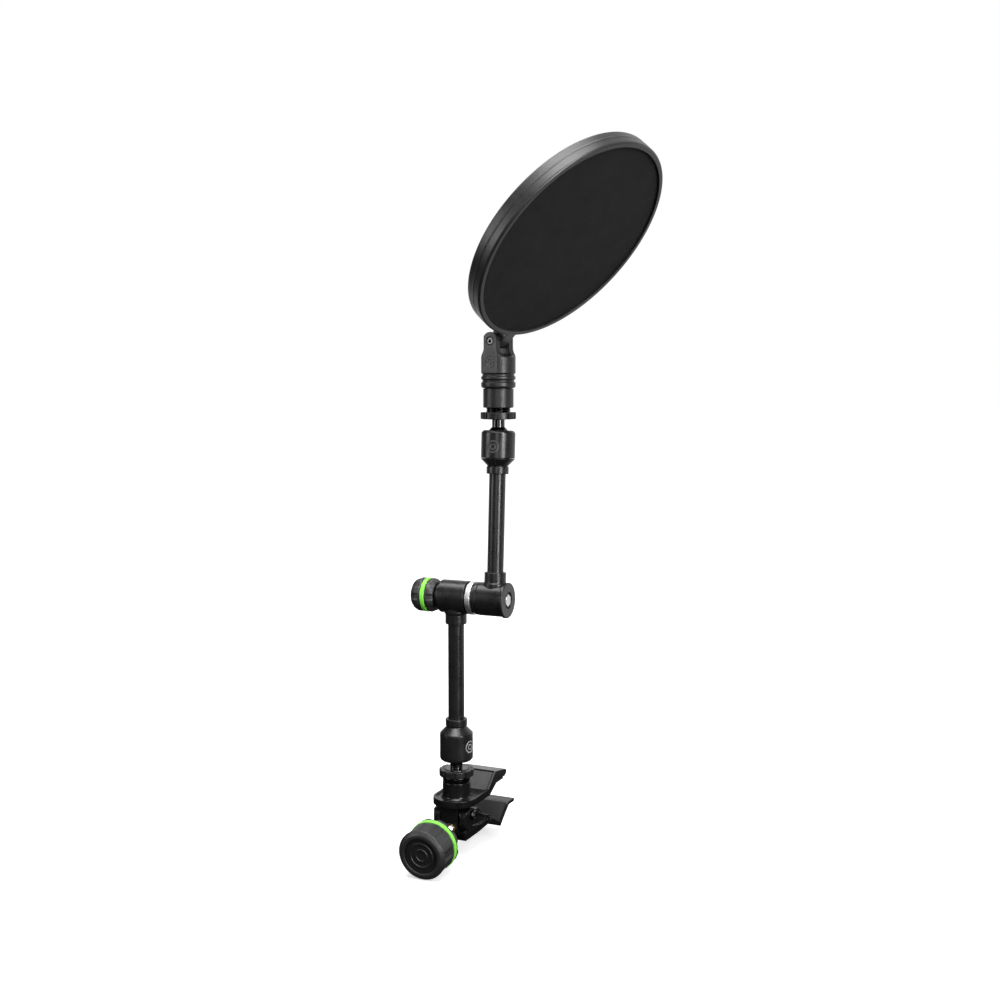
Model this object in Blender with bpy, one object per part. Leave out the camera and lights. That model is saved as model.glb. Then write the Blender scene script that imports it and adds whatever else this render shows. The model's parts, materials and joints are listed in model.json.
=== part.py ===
"""A clamp-on pop filter: a tube clamp, a two-section arm locked by one knob at its elbow, and a
round double-layer fabric filter that tilts in a yoke.

World frame: +Z up, +X along the clamp's hinge pin, +Y the way the jaws point. The origin is the
middle of the upper jaw pad's flat face. Lengths below are millimetres; MM turns them into metres.
"""

import math

import bmesh
import bpy
from mathutils import Euler, Vector

MM = 0.001

# Running and touching clearances.
GAP = 0.3
RUN = 0.2

# Clamp. Its own frame has z = 0 at the tray's floor and the arm's axis at x = y = 0.
TRAY_HALF = 14.8
TRAY_FRONT = -15.5
TRAY_CORNER = 13.4
TRAY_RIM = 1.0
RIM_WIDTH = 1.8
TRAY_UNDER = -3.6
BOSS_R = 9.3
BOSS_TOP = 11.0
PAD_THICK = 1.5
PAD_HALF = 14.0
PAD_FACE = Vector((0, 38.5, 1.2))
PIN = Vector((0, -2.0, -10.5))
PIN_R = 2.1
LUG_HALF = 6.0
LUG_FRONT = -11.5
LUG_BACK = 4.0
BUSH_R = 4.2
SPRING_LOW = -11.9
EAR_INNER = 6.4
EAR_OUTER = 12.3
JAW_HALF = 15.0
SCREW_BELOW_PIN = 8.2
SCREW_TILT = math.radians(5.6)
SCREW_R = 2.9
WEB_FACE = 13.0
FOOT_R = 4.0
KNOB_R = 16.6
KNOB_RECESS_R = 13.2
KNOB_LOBES = 8

# Arm. Each half is measured from its ball's centre.
BALL_R = 7.0
NECK_R = 4.1
HOUSING_R = 11.0
LIP = -3.5
SHOULDER = 14.5
FITTING_END = 24.7
ELBOW_REACH = 106.5
TUBE_R = 5.0
TUBE_BORE = 3.9
ROD_R = 2.2
ROD_CENTRE = 7.9
BOLT_R = 2.9
BOLT_HEAD_R = 4.2
HUB_R = 7.9
SPIGOT_R = 4.7
NUT_R = 11.5
NUT_LOBES = 8
LOWER_BALL_Z = 28.7
UPPER_LEAN = math.radians(3.16)

# Elbow, along X from the lower tube's axis.
TUBE_SPACING = 28.0
ELBOW_R = 10.9
ELBOW_HALF = 9.8
ELBOW_CAVITY = 7.4
BOLT_RECESS_R = 5.6
STUB_R = 6.65
STUB_END = 17.9
SLEEVE_R = 4.5
ELBOW_KNOB_R = 11.2

# Yoke and filter. The column is measured upwards from the upper ball's centre.
PIVOT_Z = 60.7
YOKE_TURN = math.radians(-12.7)
FILTER_TILT = math.radians(40.2)
COLUMN_R = 11.1
EAR_FLAT = 9.2
SLOT_HALF = 5.0
EAR_WIDTH = 5.0
PIVOT_R = 1.7
PIVOT_HEAD_R = 2.4
LUG_R = 4.5
LUG_WIDE = 4.7
FILTER_R = 72.6
FILTER_RISE = 81.9
FRAME_HALF = 6.0
FACE_R = 69.2
SCREEN_R = 70.4
SCREEN_X = 4.1

BLACK_METAL = ((0.030, 0.030, 0.032), 0.38, 0.85)
BLACK_CAST = ((0.028, 0.028, 0.030), 0.45, 0.60)
STEEL = ((0.62, 0.62, 0.64), 0.28, 1.00)
BRASS = ((0.70, 0.52, 0.24), 0.35, 1.00)
RUBBER = ((0.035, 0.035, 0.038), 0.75, 0.0)
PLASTIC = ((0.050, 0.050, 0.053), 0.55, 0.0)
GREEN = ((0.24, 0.85, 0.10), 0.40, 0.0)
MESH_CLOTH = ((0.020, 0.020, 0.021), 0.95, 0.0)


# ---------------------------------------------------------------- shared helpers


def clear_scene():
    for item in list(bpy.data.objects):
        bpy.data.objects.remove(item)


def finish(name, look):
    """A Principled material with a part's colour, roughness and metallic value."""
    colour, roughness, metallic = look
    material = bpy.data.materials.new(name)
    material.use_nodes = True
    shader = material.node_tree.nodes["Principled BSDF"]
    shader.inputs["Base Color"].default_value = (*colour, 1.0)
    shader.inputs["Roughness"].default_value = roughness
    shader.inputs["Metallic"].default_value = metallic
    material.diffuse_color = (*colour, 1.0)
    return material


def frame(name, parent, place=(0, 0, 0), turn=(0, 0, 0)):
    """An empty that carries a group of pieces. place is in millimetres, turn an XYZ Euler."""
    empty = bpy.data.objects.new(name, None)
    bpy.context.collection.objects.link(empty)
    empty.parent = parent
    empty.location = Vector(place) * MM
    empty.rotation_euler = Euler(turn)
    return empty


def new_object(name, shape, parent, place=(0, 0, 0), turn=(0, 0, 0)):
    """Makes an object from a closed bmesh, with its faces pointing out."""
    bmesh.ops.recalc_face_normals(shape, faces=shape.faces)
    mesh = bpy.data.meshes.new(name)
    shape.to_mesh(mesh)
    shape.free()
    mesh.shade_smooth()
    mesh.set_sharp_from_angle(angle=math.radians(32))
    item = bpy.data.objects.new(name, mesh)
    bpy.context.collection.objects.link(item)
    item.parent = parent
    item.location = Vector(place) * MM
    item.rotation_euler = Euler(turn)
    return item


def part(name, shape, look, parent, place=(0, 0, 0), turn=(0, 0, 0)):
    item = new_object(name, shape, parent, place, turn)
    item.data.materials.append(finish(name, look))
    return item


def helper(name, shape, parent, place=(0, 0, 0), turn=(0, 0, 0)):
    """A shape that a Boolean uses: it isn't a piece of the object itself."""
    item = new_object(name, shape, parent, place, turn)
    item.hide_render = True
    item.display_type = "WIRE"
    return item


def combine(item, operation, tool):
    boolean = item.modifiers.new(tool.name, "BOOLEAN")
    boolean.operation = operation
    boolean.solver = "EXACT"
    boolean.object = tool


def cut(item, *tools):
    for tool in tools:
        combine(item, "DIFFERENCE", tool)


def add(item, *tools):
    for tool in tools:
        combine(item, "UNION", tool)


def turned(profile, steps=24):
    """Turns a profile of (radius, height) points round local Z. A profile that starts and ends
    at radius 0 closes on the axis; any other is a closed outline and makes a ring."""
    shape = bmesh.new()
    points = [shape.verts.new((r * MM, 0, h * MM)) for r, h in profile]
    pairs = list(zip(points, points[1:]))
    if profile[0][0] > 0:
        pairs.append((points[-1], points[0]))
    edges = [shape.edges.new(pair) for pair in pairs]
    bmesh.ops.spin(
        shape, geom=points + edges, cent=(0, 0, 0), axis=(0, 0, 1), angle=math.tau, steps=steps
    )
    bmesh.ops.remove_doubles(shape, verts=shape.verts, dist=1e-6)
    return shape


def ring(inner, outer, low, high, steps=24, chamfer=0.0):
    c = chamfer
    profile = [(inner, high), (outer - c, high)]
    if c:
        profile.append((outer, high - c))
        profile.append((outer, low + c))
    profile.append((outer - c, low))
    profile.append((inner, low))
    return turned(profile, steps)


def rod(radius, low, high, steps=24, chamfer=0.0):
    c = chamfer
    profile = [(0, high), (radius - c, high)]
    if c:
        profile.append((radius, high - c))
        profile.append((radius, low + c))
    profile.append((radius - c, low))
    profile.append((0, low))
    return turned(profile, steps)


def scallop(shape, count, depth, beyond):
    """Presses shallow finger recesses into everything further out than the radius beyond."""
    for vert in shape.verts:
        radius = math.hypot(vert.co.x, vert.co.y) / MM
        if radius <= beyond:
            continue
        angle = math.atan2(vert.co.y, vert.co.x)
        press = max(0.0, math.cos(count * angle)) * depth
        vert.co.x *= (radius - press) / radius
        vert.co.y *= (radius - press) / radius
    return shape


def prism(outline, axis, low, high):
    """Extrudes a flat outline along an axis. The outline's pairs are (y, z), (x, z) or (x, y)."""
    lift = {
        "X": lambda a, b, c: (c, a, b),
        "Y": lambda a, b, c: (a, c, b),
        "Z": lambda a, b, c: (a, b, c),
    }[axis]
    shape = bmesh.new()
    ends = []
    for level in (low, high):
        ends.append([shape.verts.new(Vector(lift(a, b, level)) * MM) for a, b in outline])
    shape.faces.new(ends[0])
    shape.faces.new(ends[1])
    count = len(outline)
    for i in range(count):
        j = (i + 1) % count
        shape.faces.new((ends[0][i], ends[0][j], ends[1][j], ends[1][i]))
    return shape


def arc(centre, radius, start, end, steps):
    """Points on an arc, from and to angles in degrees."""
    points = []
    for i in range(steps + 1):
        angle = math.radians(start + (end - start) * i / steps)
        points.append((centre[0] + radius * math.cos(angle), centre[1] + radius * math.sin(angle)))
    return points


def offset_line(points, distance):
    """An open line moved sideways by distance, to the left of its direction."""
    moved = []
    for i, point in enumerate(points):
        here = Vector(point)
        normals = []
        if i > 0:
            run = (here - Vector(points[i - 1])).normalized()
            normals.append(Vector((-run.y, run.x)))
        if i < len(points) - 1:
            run = (Vector(points[i + 1]) - here).normalized()
            normals.append(Vector((-run.y, run.x)))
        mean = sum(normals, Vector((0, 0))).normalized()
        moved.append(tuple(here + mean * distance / mean.dot(normals[0])))
    return moved


def strip(points, near, far):
    """The outline between two offsets of one line."""
    return offset_line(points, near) + offset_line(points, far)[::-1]


def coil(radius, wire, low, high, turns, sides=4, per_turn=10):
    """A closed helical spring round local Z."""
    shape = bmesh.new()
    rows = []
    total = turns * per_turn
    for i in range(total + 1):
        angle = math.tau * i / per_turn
        out = Vector((math.cos(angle), math.sin(angle), 0))
        centre = out * radius + Vector((0, 0, low + (high - low) * i / total))
        row = []
        for k in range(sides):
            turn = math.tau * k / sides
            point = centre + out * wire * math.cos(turn) + Vector((0, 0, wire * math.sin(turn)))
            row.append(shape.verts.new(point * MM))
        rows.append(row)
    for near, far in zip(rows, rows[1:]):
        for k in range(sides):
            n = (k + 1) % sides
            shape.faces.new((near[k], near[n], far[n], far[k]))
    shape.faces.new(rows[0])
    shape.faces.new(rows[-1])
    return shape


# Quarter turns that lay a turned shape's axis along X or Y.
ALONG_X = (0, math.pi / 2, 0)
ALONG_Y = (-math.pi / 2, 0, 0)
ALONG_MINUS_X = (0, -math.pi / 2, 0)


# ---------------------------------------------------------------- clamp

# The upper jaw's underside from the tray, up the slope and along the lip, as (y, z).
UPPER_UNDER = [(20.5, TRAY_UNDER), (33.5, 3.0), (46.0, 3.0)]
# The lower jaw's outer side from behind the ears, down to the vee's bottom, up and along the lip.
LOWER_OUTER = [(22.0, -21.5), (38.4, -30.5), (53.0, -19.6), (61.8, -19.6)]
LOWER_PLATE = 2.2


def tray_plan(inset):
    """The upper jaw seen from above: round front corners and straight sides."""
    half = TRAY_HALF - inset
    front = TRAY_FRONT + inset
    r = TRAY_CORNER - inset
    back = 50.0
    left = arc((-half + r, front + r), r, 180, 270, 6)
    right = arc((half - r, front + r), r, 270, 360, 6)
    return [(-half, back)] + left + right + [(half, back)]


def upper_jaw_profile():
    """The upper jaw from the side: tray, slope and rounded lip."""
    top = [(TRAY_FRONT - 1, TRAY_RIM), (19.7, TRAY_RIM), (31.2, 10.3), (46.6, 7.9)]
    nose = [(48.6, 7.0), (49.2, 5.6), (48.4, 4.2)]
    return top + nose + UPPER_UNDER[::-1] + [(TRAY_FRONT - 1, TRAY_UNDER)]


def make_upper_jaw(clamp, screw):
    jaw = part("upper_jaw", prism(upper_jaw_profile(), "X", -20, 20), BLACK_CAST, clamp)
    combine(jaw, "INTERSECT", helper("tray_plan", prism(tray_plan(0), "Z", -10, 20), clamp))
    floor = [(-17.5, 0), (20.1, 0), (31.6, 9.4), (31.6, 20), (-17.5, 20)]
    pocket = helper("tray_pocket", prism(floor, "X", -20, 20), clamp)
    inner = helper("pocket_plan", prism(tray_plan(RIM_WIDTH), "Z", -10, 30), clamp)
    combine(pocket, "INTERSECT", inner)
    root = TRAY_UNDER + 0.5
    lug_side = [(LUG_FRONT, root)] + arc((LUG_FRONT + 5, -19.0), 5.0, 180, 270, 4)
    lug_side += arc((LUG_BACK - 5, -19.0), 5.0, 270, 360, 4) + [(LUG_BACK, root)]
    lug = helper("lug_block", prism(lug_side, "X", -LUG_HALF, LUG_HALF), clamp)
    foot = BOSS_R + 1.0
    boss = [(0, BOSS_TOP), (BOSS_R - 0.5, BOSS_TOP), (BOSS_R, BOSS_TOP - 0.5), (BOSS_R, 1.0),
            (foot, 0), (foot, -0.6), (0, -0.6)]
    cut(jaw, pocket)
    add(jaw, lug, helper("boss_block", turned(boss, 28), clamp))
    cut(jaw, helper("boss_bore", rod(SPIGOT_R + GAP, 2.4, BOSS_TOP + 2), clamp))
    cut(jaw, helper("pin_bore", rod(PIN_R + RUN, -20, 20, 16), clamp, PIN, ALONG_X))
    cut(jaw, helper("bush_bore", rod(BUSH_R + RUN, -20, 20, 20), screw))


def make_clamp_fittings(clamp, screw):
    """Pad, thread bush, pin, clip and spring: they stay with the upper jaw."""
    pad = strip([(21.5, -3.09), UPPER_UNDER[1], (45.0, UPPER_UNDER[1][1])], -GAP, -GAP - PAD_THICK)
    part("upper_jaw_pad", prism(pad, "X", -PAD_HALF, PAD_HALF), RUBBER, clamp)
    part("screw_bush", ring(SCREW_R + RUN, BUSH_R, -3.6, 9.4, 20), BRASS, screw)
    head = [(0, 14.6), (2.6, 14.6), (3.3, 13.9), (3.3, EAR_OUTER + 0.4), (PIN_R, EAR_OUTER + 0.4)]
    groove = [(PIN_R, -13.4), (1.6, -13.4), (1.6, -14.2), (PIN_R, -14.2), (PIN_R, -14.8), (0, -14.8)]
    part("hinge_pin", turned(head + groove, 16), STEEL, clamp, PIN, ALONG_X)
    part("hinge_clip", ring(1.8, 3.6, -14.1, -13.5, 16), STEEL, clamp, PIN, ALONG_X)
    spring = coil(2.6, 0.4, SPRING_LOW, TRAY_UNDER - 0.7, 5)
    part("jaw_spring", spring, STEEL, clamp, (0, 15.5, 0))


def lower_jaw_walls():
    """The side walls from the side: hinge eye, then tapering back to the vee."""
    eye = [(-11.8, -7.2)] + arc((PIN.y, PIN.z), 4.8, 115, 55, 4)
    return eye + [(10.7, -12.6), (25.0, -19.2), (25.0, -23.0), (10.0, -22.0), (-11.0, -16.5)]


def lower_jaw_keel():
    """The rounded belly under the side walls."""
    return [(-10.5, -16.0), (-10.5, -26.0), (0.0, -30.2), (12.0, -32.0), (24.0, -30.6),
            (33.0, -28.2), (26.0, -22.6), (10.0, -20.0)]


def make_lower_jaw(jaw, screw):
    plate = prism(strip(LOWER_OUTER, 0, LOWER_PLATE), "X", -JAW_HALF, JAW_HALF)
    body = part("lower_jaw", plate, BLACK_CAST, jaw, -PIN)
    for side in (-1, 1):
        edges = sorted((side * EAR_INNER, side * EAR_OUTER))
        name = "jaw_wall_left" if side < 0 else "jaw_wall_right"
        add(body, helper(name, prism(lower_jaw_walls(), "X", *edges), jaw, -PIN))
    add(body, helper("jaw_keel", prism(lower_jaw_keel(), "X", -9.2, 9.2), jaw, -PIN))
    web = [(9.0, -27.0), (9.0, -12.6), (19.0, -12.6), (25.0, -17.5), (27.0, -21.0), (27.0, -27.0)]
    reach = EAR_INNER + 0.5
    add(body, helper("jaw_web", prism(web, "X", -reach, reach), jaw, -PIN))
    # The web's front face is square to the screw, so the well's back edge leans with it.
    well = [(-13.0, -26.4), (-13.0, 0), (22.0, 0), (22.0, -12.0), (11.2, -12.0), (12.63, -26.4)]
    cut(body, helper("jaw_well", prism(well, "X", -EAR_INNER, EAR_INNER), jaw, -PIN))
    cut(body, helper("jaw_pin_bore", rod(PIN_R + RUN, -20, 20, 16), jaw, (0, 0, 0), ALONG_X))
    near = LOWER_PLATE + GAP
    bottom = Vector(LOWER_OUTER[1])
    front = bottom.lerp(Vector(LOWER_OUTER[0]), 0.66)
    back = bottom.lerp(Vector(LOWER_OUTER[2]), 0.93)
    pad = prism(strip([front, bottom, back], near, near + PAD_THICK), "X", -PAD_HALF, PAD_HALF)
    part("lower_jaw_pad", pad, RUBBER, jaw, -PIN)


def make_clamp_screw(screw):
    """Swivel foot, screw and knob, turned round the screw's axis; +Z runs out to the knob."""
    centre = -(WEB_FACE - FOOT_R - GAP)
    dome = arc((0, centre), FOOT_R, 0, -90, 5)[:-1]
    foot = [(0, -8.0), (2.3, -8.0), (2.3, -5.3), (FOOT_R, -5.3)] + dome + [(0, centre - FOOT_R)]
    part("screw_foot", turned(foot, 16), STEEL, screw)
    shank = [(0, 44.0), (2.4, 44.0), (SCREW_R, 43.5), (SCREW_R, -4.6), (SCREW_R - 0.4, -5.0),
             (2.0, -5.0), (2.0, -7.6), (0, -7.6)]
    part("clamp_screw", turned(shank, 20), STEEL, screw)
    hub_r = 10.6
    hub = [(0, 49.2), (hub_r, 49.2), (hub_r, 28.4), (7.4, 27.4), (6.0, 17.0), (SCREW_R + RUN, 17.0),
           (SCREW_R + RUN, 45.0), (0, 45.0)]
    part("clamp_knob_hub", turned(hub, 24), PLASTIC, screw)
    inner = hub_r + GAP
    rear = [(inner, 32.3), (KNOB_R, 32.3), (KNOB_R, 30.0), (KNOB_R - 2.2, 27.9), (inner, 27.9)]
    part("clamp_knob_rear_grip", knob_grip(rear, KNOB_R), RUBBER, screw)
    part("clamp_knob_ring", ring(inner, KNOB_R + 0.2, 32.6, 35.4, 36, 0.4), GREEN, screw)
    front = [(inner, 48.8), (KNOB_R - 0.2, 48.8), (KNOB_R, 48.5), (KNOB_R, 35.7), (inner, 35.7)]
    part("clamp_knob_front_grip", knob_grip(front, KNOB_R), RUBBER, screw)
    rim = [(KNOB_RECESS_R, 52.2), (KNOB_R - 2.5, 52.2), (KNOB_R - 0.1, 50.0), (KNOB_R - 0.1, 49.1),
           (inner, 49.1), (inner, 49.5), (KNOB_RECESS_R, 49.5)]
    part("clamp_knob_bezel", turned(rim, 36), PLASTIC, screw)
    cap = [(0, 50.9), (5.0, 50.9), (5.0, 51.3), (8.6, 51.3), (8.6, 50.9), (KNOB_RECESS_R - GAP, 50.9),
           (KNOB_RECESS_R - GAP, 49.8), (0, 49.8)]
    part("clamp_knob_cap", turned(cap, 32), PLASTIC, screw)


def knob_grip(profile, radius):
    """A grip sleeve with a finger recess between each pair of lobes."""
    return scallop(turned(profile, KNOB_LOBES * 4), KNOB_LOBES, radius * 0.05, radius * 0.8)


# ---------------------------------------------------------------- arm


def make_ball_joint(side, arm, stud, neck_end, hub_end, spigot_end):
    """Ball stud, pressure cup, housing and tube fitting. arm has +Z along the tube from the
    ball's centre; stud has +Z from the ball's centre towards its thread. A stud with a spigot
    ends in a thinner thread below its hub."""
    shoulder = math.degrees(math.acos(NECK_R / BALL_R))
    ball = arc((0, 0), BALL_R, -90, shoulder, 6)[1:]
    shank = [(NECK_R, neck_end - 0.4), (HUB_R - 0.4, neck_end), (HUB_R, neck_end + 0.4),
             (HUB_R, hub_end)]
    if spigot_end:
        shank += [(SPIGOT_R, hub_end), (SPIGOT_R, spigot_end - 0.5), (SPIGOT_R - 0.5, spigot_end)]
    end = spigot_end or hub_end
    profile = [(0, -BALL_R)] + ball + shank + [(0, end)]
    part(side + "_ball_stud", turned(profile[::-1], 20), STEEL, stud)

    seat = BALL_R + GAP
    cup = [(0, 9.5), (6.6, 9.5), (7.5, 8.6), (7.5, 1.0)] + arc((0, 0), seat, 10, 70, 3) + [(0, seat)]
    part(side + "_ball_cup", turned(cup, 16), BRASS, arm)

    bore = 7.8
    seat_low = arc((0, 0), seat, -12, -27.5, 1)
    housing = [(bore, SHOULDER), (HOUSING_R - 0.3, SHOULDER), (HOUSING_R, SHOULDER - 0.3),
               (HOUSING_R, LIP + 2.2), (HOUSING_R - 0.9, LIP + 0.6), (HOUSING_R - 2.2, LIP)]
    housing += [(6.45, LIP)] + seat_low[::-1] + [(bore, -0.6)]
    part(side + "_ball_housing", turned(housing, 28), BLACK_METAL, arm)

    top = FITTING_END
    fitting = [(TUBE_R + RUN, top), (6.5, top), (6.9, top - 0.4), (6.9, 19.8), (HOUSING_R, 15.2),
               (HOUSING_R, 14.8), (bore - RUN, 14.8), (bore - RUN, 11.0), (ROD_R + RUN, 11.0),
               (ROD_R + RUN, 17.0), (TUBE_R + RUN, 17.0)]
    part(side + "_tube_fitting", turned(fitting, 28), BLACK_METAL, arm)
    part(side + "_tube", ring(TUBE_BORE, TUBE_R, 17.3, ELBOW_REACH - 11.6, 20), BLACK_METAL, arm)
    tip = ELBOW_REACH - ROD_CENTRE
    push = arc((0, tip), ROD_R, 90, 0, 3)
    part(side + "_push_rod", turned([(0, tip + ROD_R)] + push[1:] + [(ROD_R, 9.8), (0, 9.8)], 12),
         STEEL, arm)


def make_lock_nut(side, stud, low, high):
    """A round nut with finger notches, on the stud's thread."""
    outline = [(HUB_R + RUN, high), (NUT_R - 0.5, high), (NUT_R, high - 0.5), (NUT_R, low + 0.5),
               (NUT_R - 0.5, low), (HUB_R + RUN, low)]
    shape = scallop(turned(outline, NUT_LOBES * 4), NUT_LOBES, 1.6, NUT_R * 0.9)
    part(side + "_lock_nut", shape, PLASTIC, stud)


def make_elbow_housing(side, elbow, opening, stub_turn, flange):
    """One barrel of the elbow round X with its tube socket. opening turns the barrel's local +Z to
    its open end and stub_turn does the same for the socket; flange gives the outer end a raised
    rim and a bolt recess."""
    end = ELBOW_HALF
    wall = end - 2.6
    hole = SLEEVE_R + RUN
    barrel = [(0, end), (ELBOW_R - 0.4, end), (ELBOW_R, end - 0.4)]
    if flange:
        rim = ELBOW_R + 0.7
        barrel += [(ELBOW_R, -end + 2.6), (rim, -end + 2.1), (rim, -end + 0.5), (ELBOW_R + 0.2, -end),
                   (BOLT_RECESS_R, -end), (BOLT_RECESS_R, -end + 0.8), (0, -end + 0.8)]
    else:
        barrel += [(ELBOW_R, -end + 0.6), (ELBOW_R - 0.6, -end), (0, -end)]
    body = part(side + "_elbow_housing", turned(barrel, 32), BLACK_METAL, elbow, (0, 0, 0), opening)
    foot = STUB_R + 0.9
    stub = [(0, STUB_END), (STUB_R - 0.4, STUB_END), (STUB_R, STUB_END - 0.4), (STUB_R, 11.1),
            (foot, 10.2), (foot, 4.0), (0, 4.0)]
    add(body, helper(side + "_stub", turned(stub, 24), elbow, (0, 0, 0), stub_turn))
    cavity = [(0, end + 2), (ELBOW_CAVITY, end + 2), (ELBOW_CAVITY, -wall), (hole, -wall),
              (hole, -end - 2), (0, -end - 2)]
    cut(body, helper(side + "_cavity", turned(cavity, 24), elbow, (0, 0, 0), opening))
    socket = [(0, STUB_END + 2), (TUBE_R + RUN, STUB_END + 2), (TUBE_R + RUN, 11.4),
              (ROD_R + RUN, 11.4), (ROD_R + RUN, 4.0), (0, 4.0)]
    cut(body, helper(side + "_socket", turned(socket, 20), elbow, (0, 0, 0), stub_turn))


def thrust_cone(sleeve_end):
    """A cone that pushes a rod outwards as it is drawn in, with the sleeve that drives it. +Z
    points out of the elbow, away from the middle."""
    bore = BOLT_R + RUN
    return turned([(bore, sleeve_end), (SLEEVE_R, sleeve_end), (SLEEVE_R, 6.4), (6.9, 6.4),
                   (6.9, 2.4), (3.7, -0.8), (bore, -0.8)], 20)


def make_elbow_core(lower, upper):
    """Cones, bolt, spring and rings on the elbow's axis."""
    part("lower_thrust_cone", thrust_cone(11.6), BRASS, lower, (0, 0, 0), ALONG_MINUS_X)
    part("upper_thrust_cone", thrust_cone(8.0), BRASS, upper, (0, 0, 0), ALONG_X)
    corners = [(BOLT_HEAD_R * math.cos(math.tau * i / 6), BOLT_HEAD_R * math.sin(math.tau * i / 6))
               for i in range(6)]
    bolt = part("draw_bolt", prism(corners, "Z", 8.3, 9.7), STEEL, upper, (0, 0, 0), ALONG_X)
    shank = rod(BOLT_R, -TUBE_SPACING - 24.5, 9.0, 24)
    add(bolt, helper("draw_bolt_shank", shank, upper, (0, 0, 0), ALONG_X))
    spring = coil(4.0, 0.45, 1.9, TUBE_SPACING - 1.9, 6)
    part("elbow_spring", spring, STEEL, lower, (0, 0, 0), ALONG_X)
    stack = (("elbow_inner_ring", lower, 0, 10.1, 10.9, 10.3, BLACK_METAL),
             ("elbow_friction_washer", lower, 0, 11.2, 14.5, 11.0, STEEL),
             ("elbow_wear_ring", upper, TUBE_SPACING, 14.8, 15.9, 10.0, PLASTIC),
             ("elbow_outer_ring", upper, TUBE_SPACING, 16.2, 17.9, 10.7, BLACK_METAL))
    for name, holder, shift, low, high, radius, look in stack:
        washer = ring(5.2, radius, low - shift, high - shift, 28, 0.25)
        part(name, washer, look, holder, (0, 0, 0), ALONG_X)


def make_elbow_knob(knob):
    """The knob on the elbow bolt's thread, with +Z out along the bolt."""
    part("elbow_knob_washer", ring(SLEEVE_R + 0.4, 8.6, 10.1, 11.6, 20, 0.3), BLACK_METAL, knob)
    part("elbow_knob_insert", ring(BOLT_R + RUN, 4.6, 12.6, 21.0, 16), BRASS, knob)
    hub_r = 6.8
    bore = BOLT_R + RUN
    hub = [(0, 28.0), (hub_r, 28.0), (hub_r, 12.6), (8.8, 11.9), (4.8, 11.9), (4.8, 21.2), (bore, 21.2),
           (bore, 25.6), (0, 25.6)]
    part("elbow_knob_hub", turned(hub, 20), PLASTIC, knob)
    inner = hub_r + GAP
    r = ELBOW_KNOB_R
    rear = [(inner, 18.3), (r, 18.3), (r, 15.6), (9.4, 12.7), (inner, 12.9)]
    part("elbow_knob_rear_grip", knob_grip(rear, r), RUBBER, knob)
    part("elbow_knob_ring", ring(inner, r + 0.15, 18.6, 21.6, 32, 0.3), GREEN, knob)
    front = [(0, 30.2), (6.0, 29.9), (9.2, 28.9), (10.6, 27.4), (r, 25.4), (r, 21.9), (inner, 21.9),
             (inner, 28.3), (0, 28.3)]
    part("elbow_knob_front_grip", knob_grip(front, r), RUBBER, knob)


# ---------------------------------------------------------------- yoke and filter


def make_yoke(column, yoke):
    """The yoke on its thread insert. column rises from the ball; yoke sits on the pivot, with
    local Y along the pivot."""
    collar_low = PIVOT_Z - 42.6
    collar_high = PIVOT_Z - 30.4
    bore = HUB_R + RUN
    insert = [(bore, collar_low), (9.3, collar_low), (9.8, collar_low + 0.5), (9.8, collar_high),
              (8.8, collar_high), (8.8, collar_high + 8.0), (7.0, collar_high + 8.0),
              (7.0, collar_low + 9.4), (bore, collar_low + 9.4)]
    part("yoke_thread_insert", turned(insert, 28), BLACK_METAL, column)

    r = COLUMN_R
    base = -30.1
    body = [(0, 8), (r, 8), (r, -20.4), (r - 0.8, -20.9), (r - 0.8, -22.1), (r, -22.6), (r, -24.3),
            (r - 0.9, -24.8), (r - 0.9, -25.9), (r, -26.4), (r, -29.2), (9.9, base), (9.1, base),
            (9.1, base + 8.2), (0, base + 8.2)]
    item = part("yoke", turned(body, 32), BLACK_METAL, yoke)
    ears = [(-EAR_WIDTH, -4.8)] + arc((-EAR_WIDTH - 6.3, -4.1), 6.3, 0, -78, 4)[1:]
    ears += [(-20, -10.3), (-20, -40), (20, -40), (20, -10.3)]
    ears += arc((EAR_WIDTH + 6.3, -4.1), 6.3, 258, 180, 4)
    ears += arc((0, 0), 5.8, 31, 149, 7)
    outline = helper("ear_outline", prism(ears, "Y", -20, 20), yoke)
    combine(item, "INTERSECT", outline)
    slot = [(-SLOT_HALF, 12), (-SLOT_HALF, -8.6)] + arc((-SLOT_HALF + 1, -8.6), 1.0, 180, 270, 3)
    slot += arc((SLOT_HALF - 1, -8.6), 1.0, 270, 360, 3) + [(SLOT_HALF, 12)]
    cut(item, helper("yoke_slot", prism(slot, "X", -20, 20), yoke))
    for side in (-1, 1):
        near, far = sorted((side * EAR_FLAT, side * 20))
        flat = prism([(-20, 12), (-20, -20.0), (20, -20.0), (20, 12)], "Y", near, far)
        cut(item, helper("ear_flat_left" if side < 0 else "ear_flat_right", flat, yoke))
    cut(item, helper("screw_hole", rod(PIVOT_R + RUN, -20, 20, 12), yoke, (0, 0, 0), ALONG_Y))
    head_seat = rod(PIVOT_HEAD_R + GAP, -20, -EAR_FLAT + 2.2, 16)
    nut_seat = rod(PIVOT_HEAD_R + GAP, EAR_FLAT - 2.2, 20, 16)
    cut(item, helper("head_seat", head_seat, yoke, (0, 0, 0), ALONG_Y))
    cut(item, helper("nut_seat", nut_seat, yoke, (0, 0, 0), ALONG_Y))
    # A plain round recess on the left ear's flat.
    badge = rod(4.2, -20, -EAR_FLAT + 0.3, 24)
    cut(item, helper("badge_recess", badge, yoke, (0, 0, -13.8), ALONG_Y))


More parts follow.
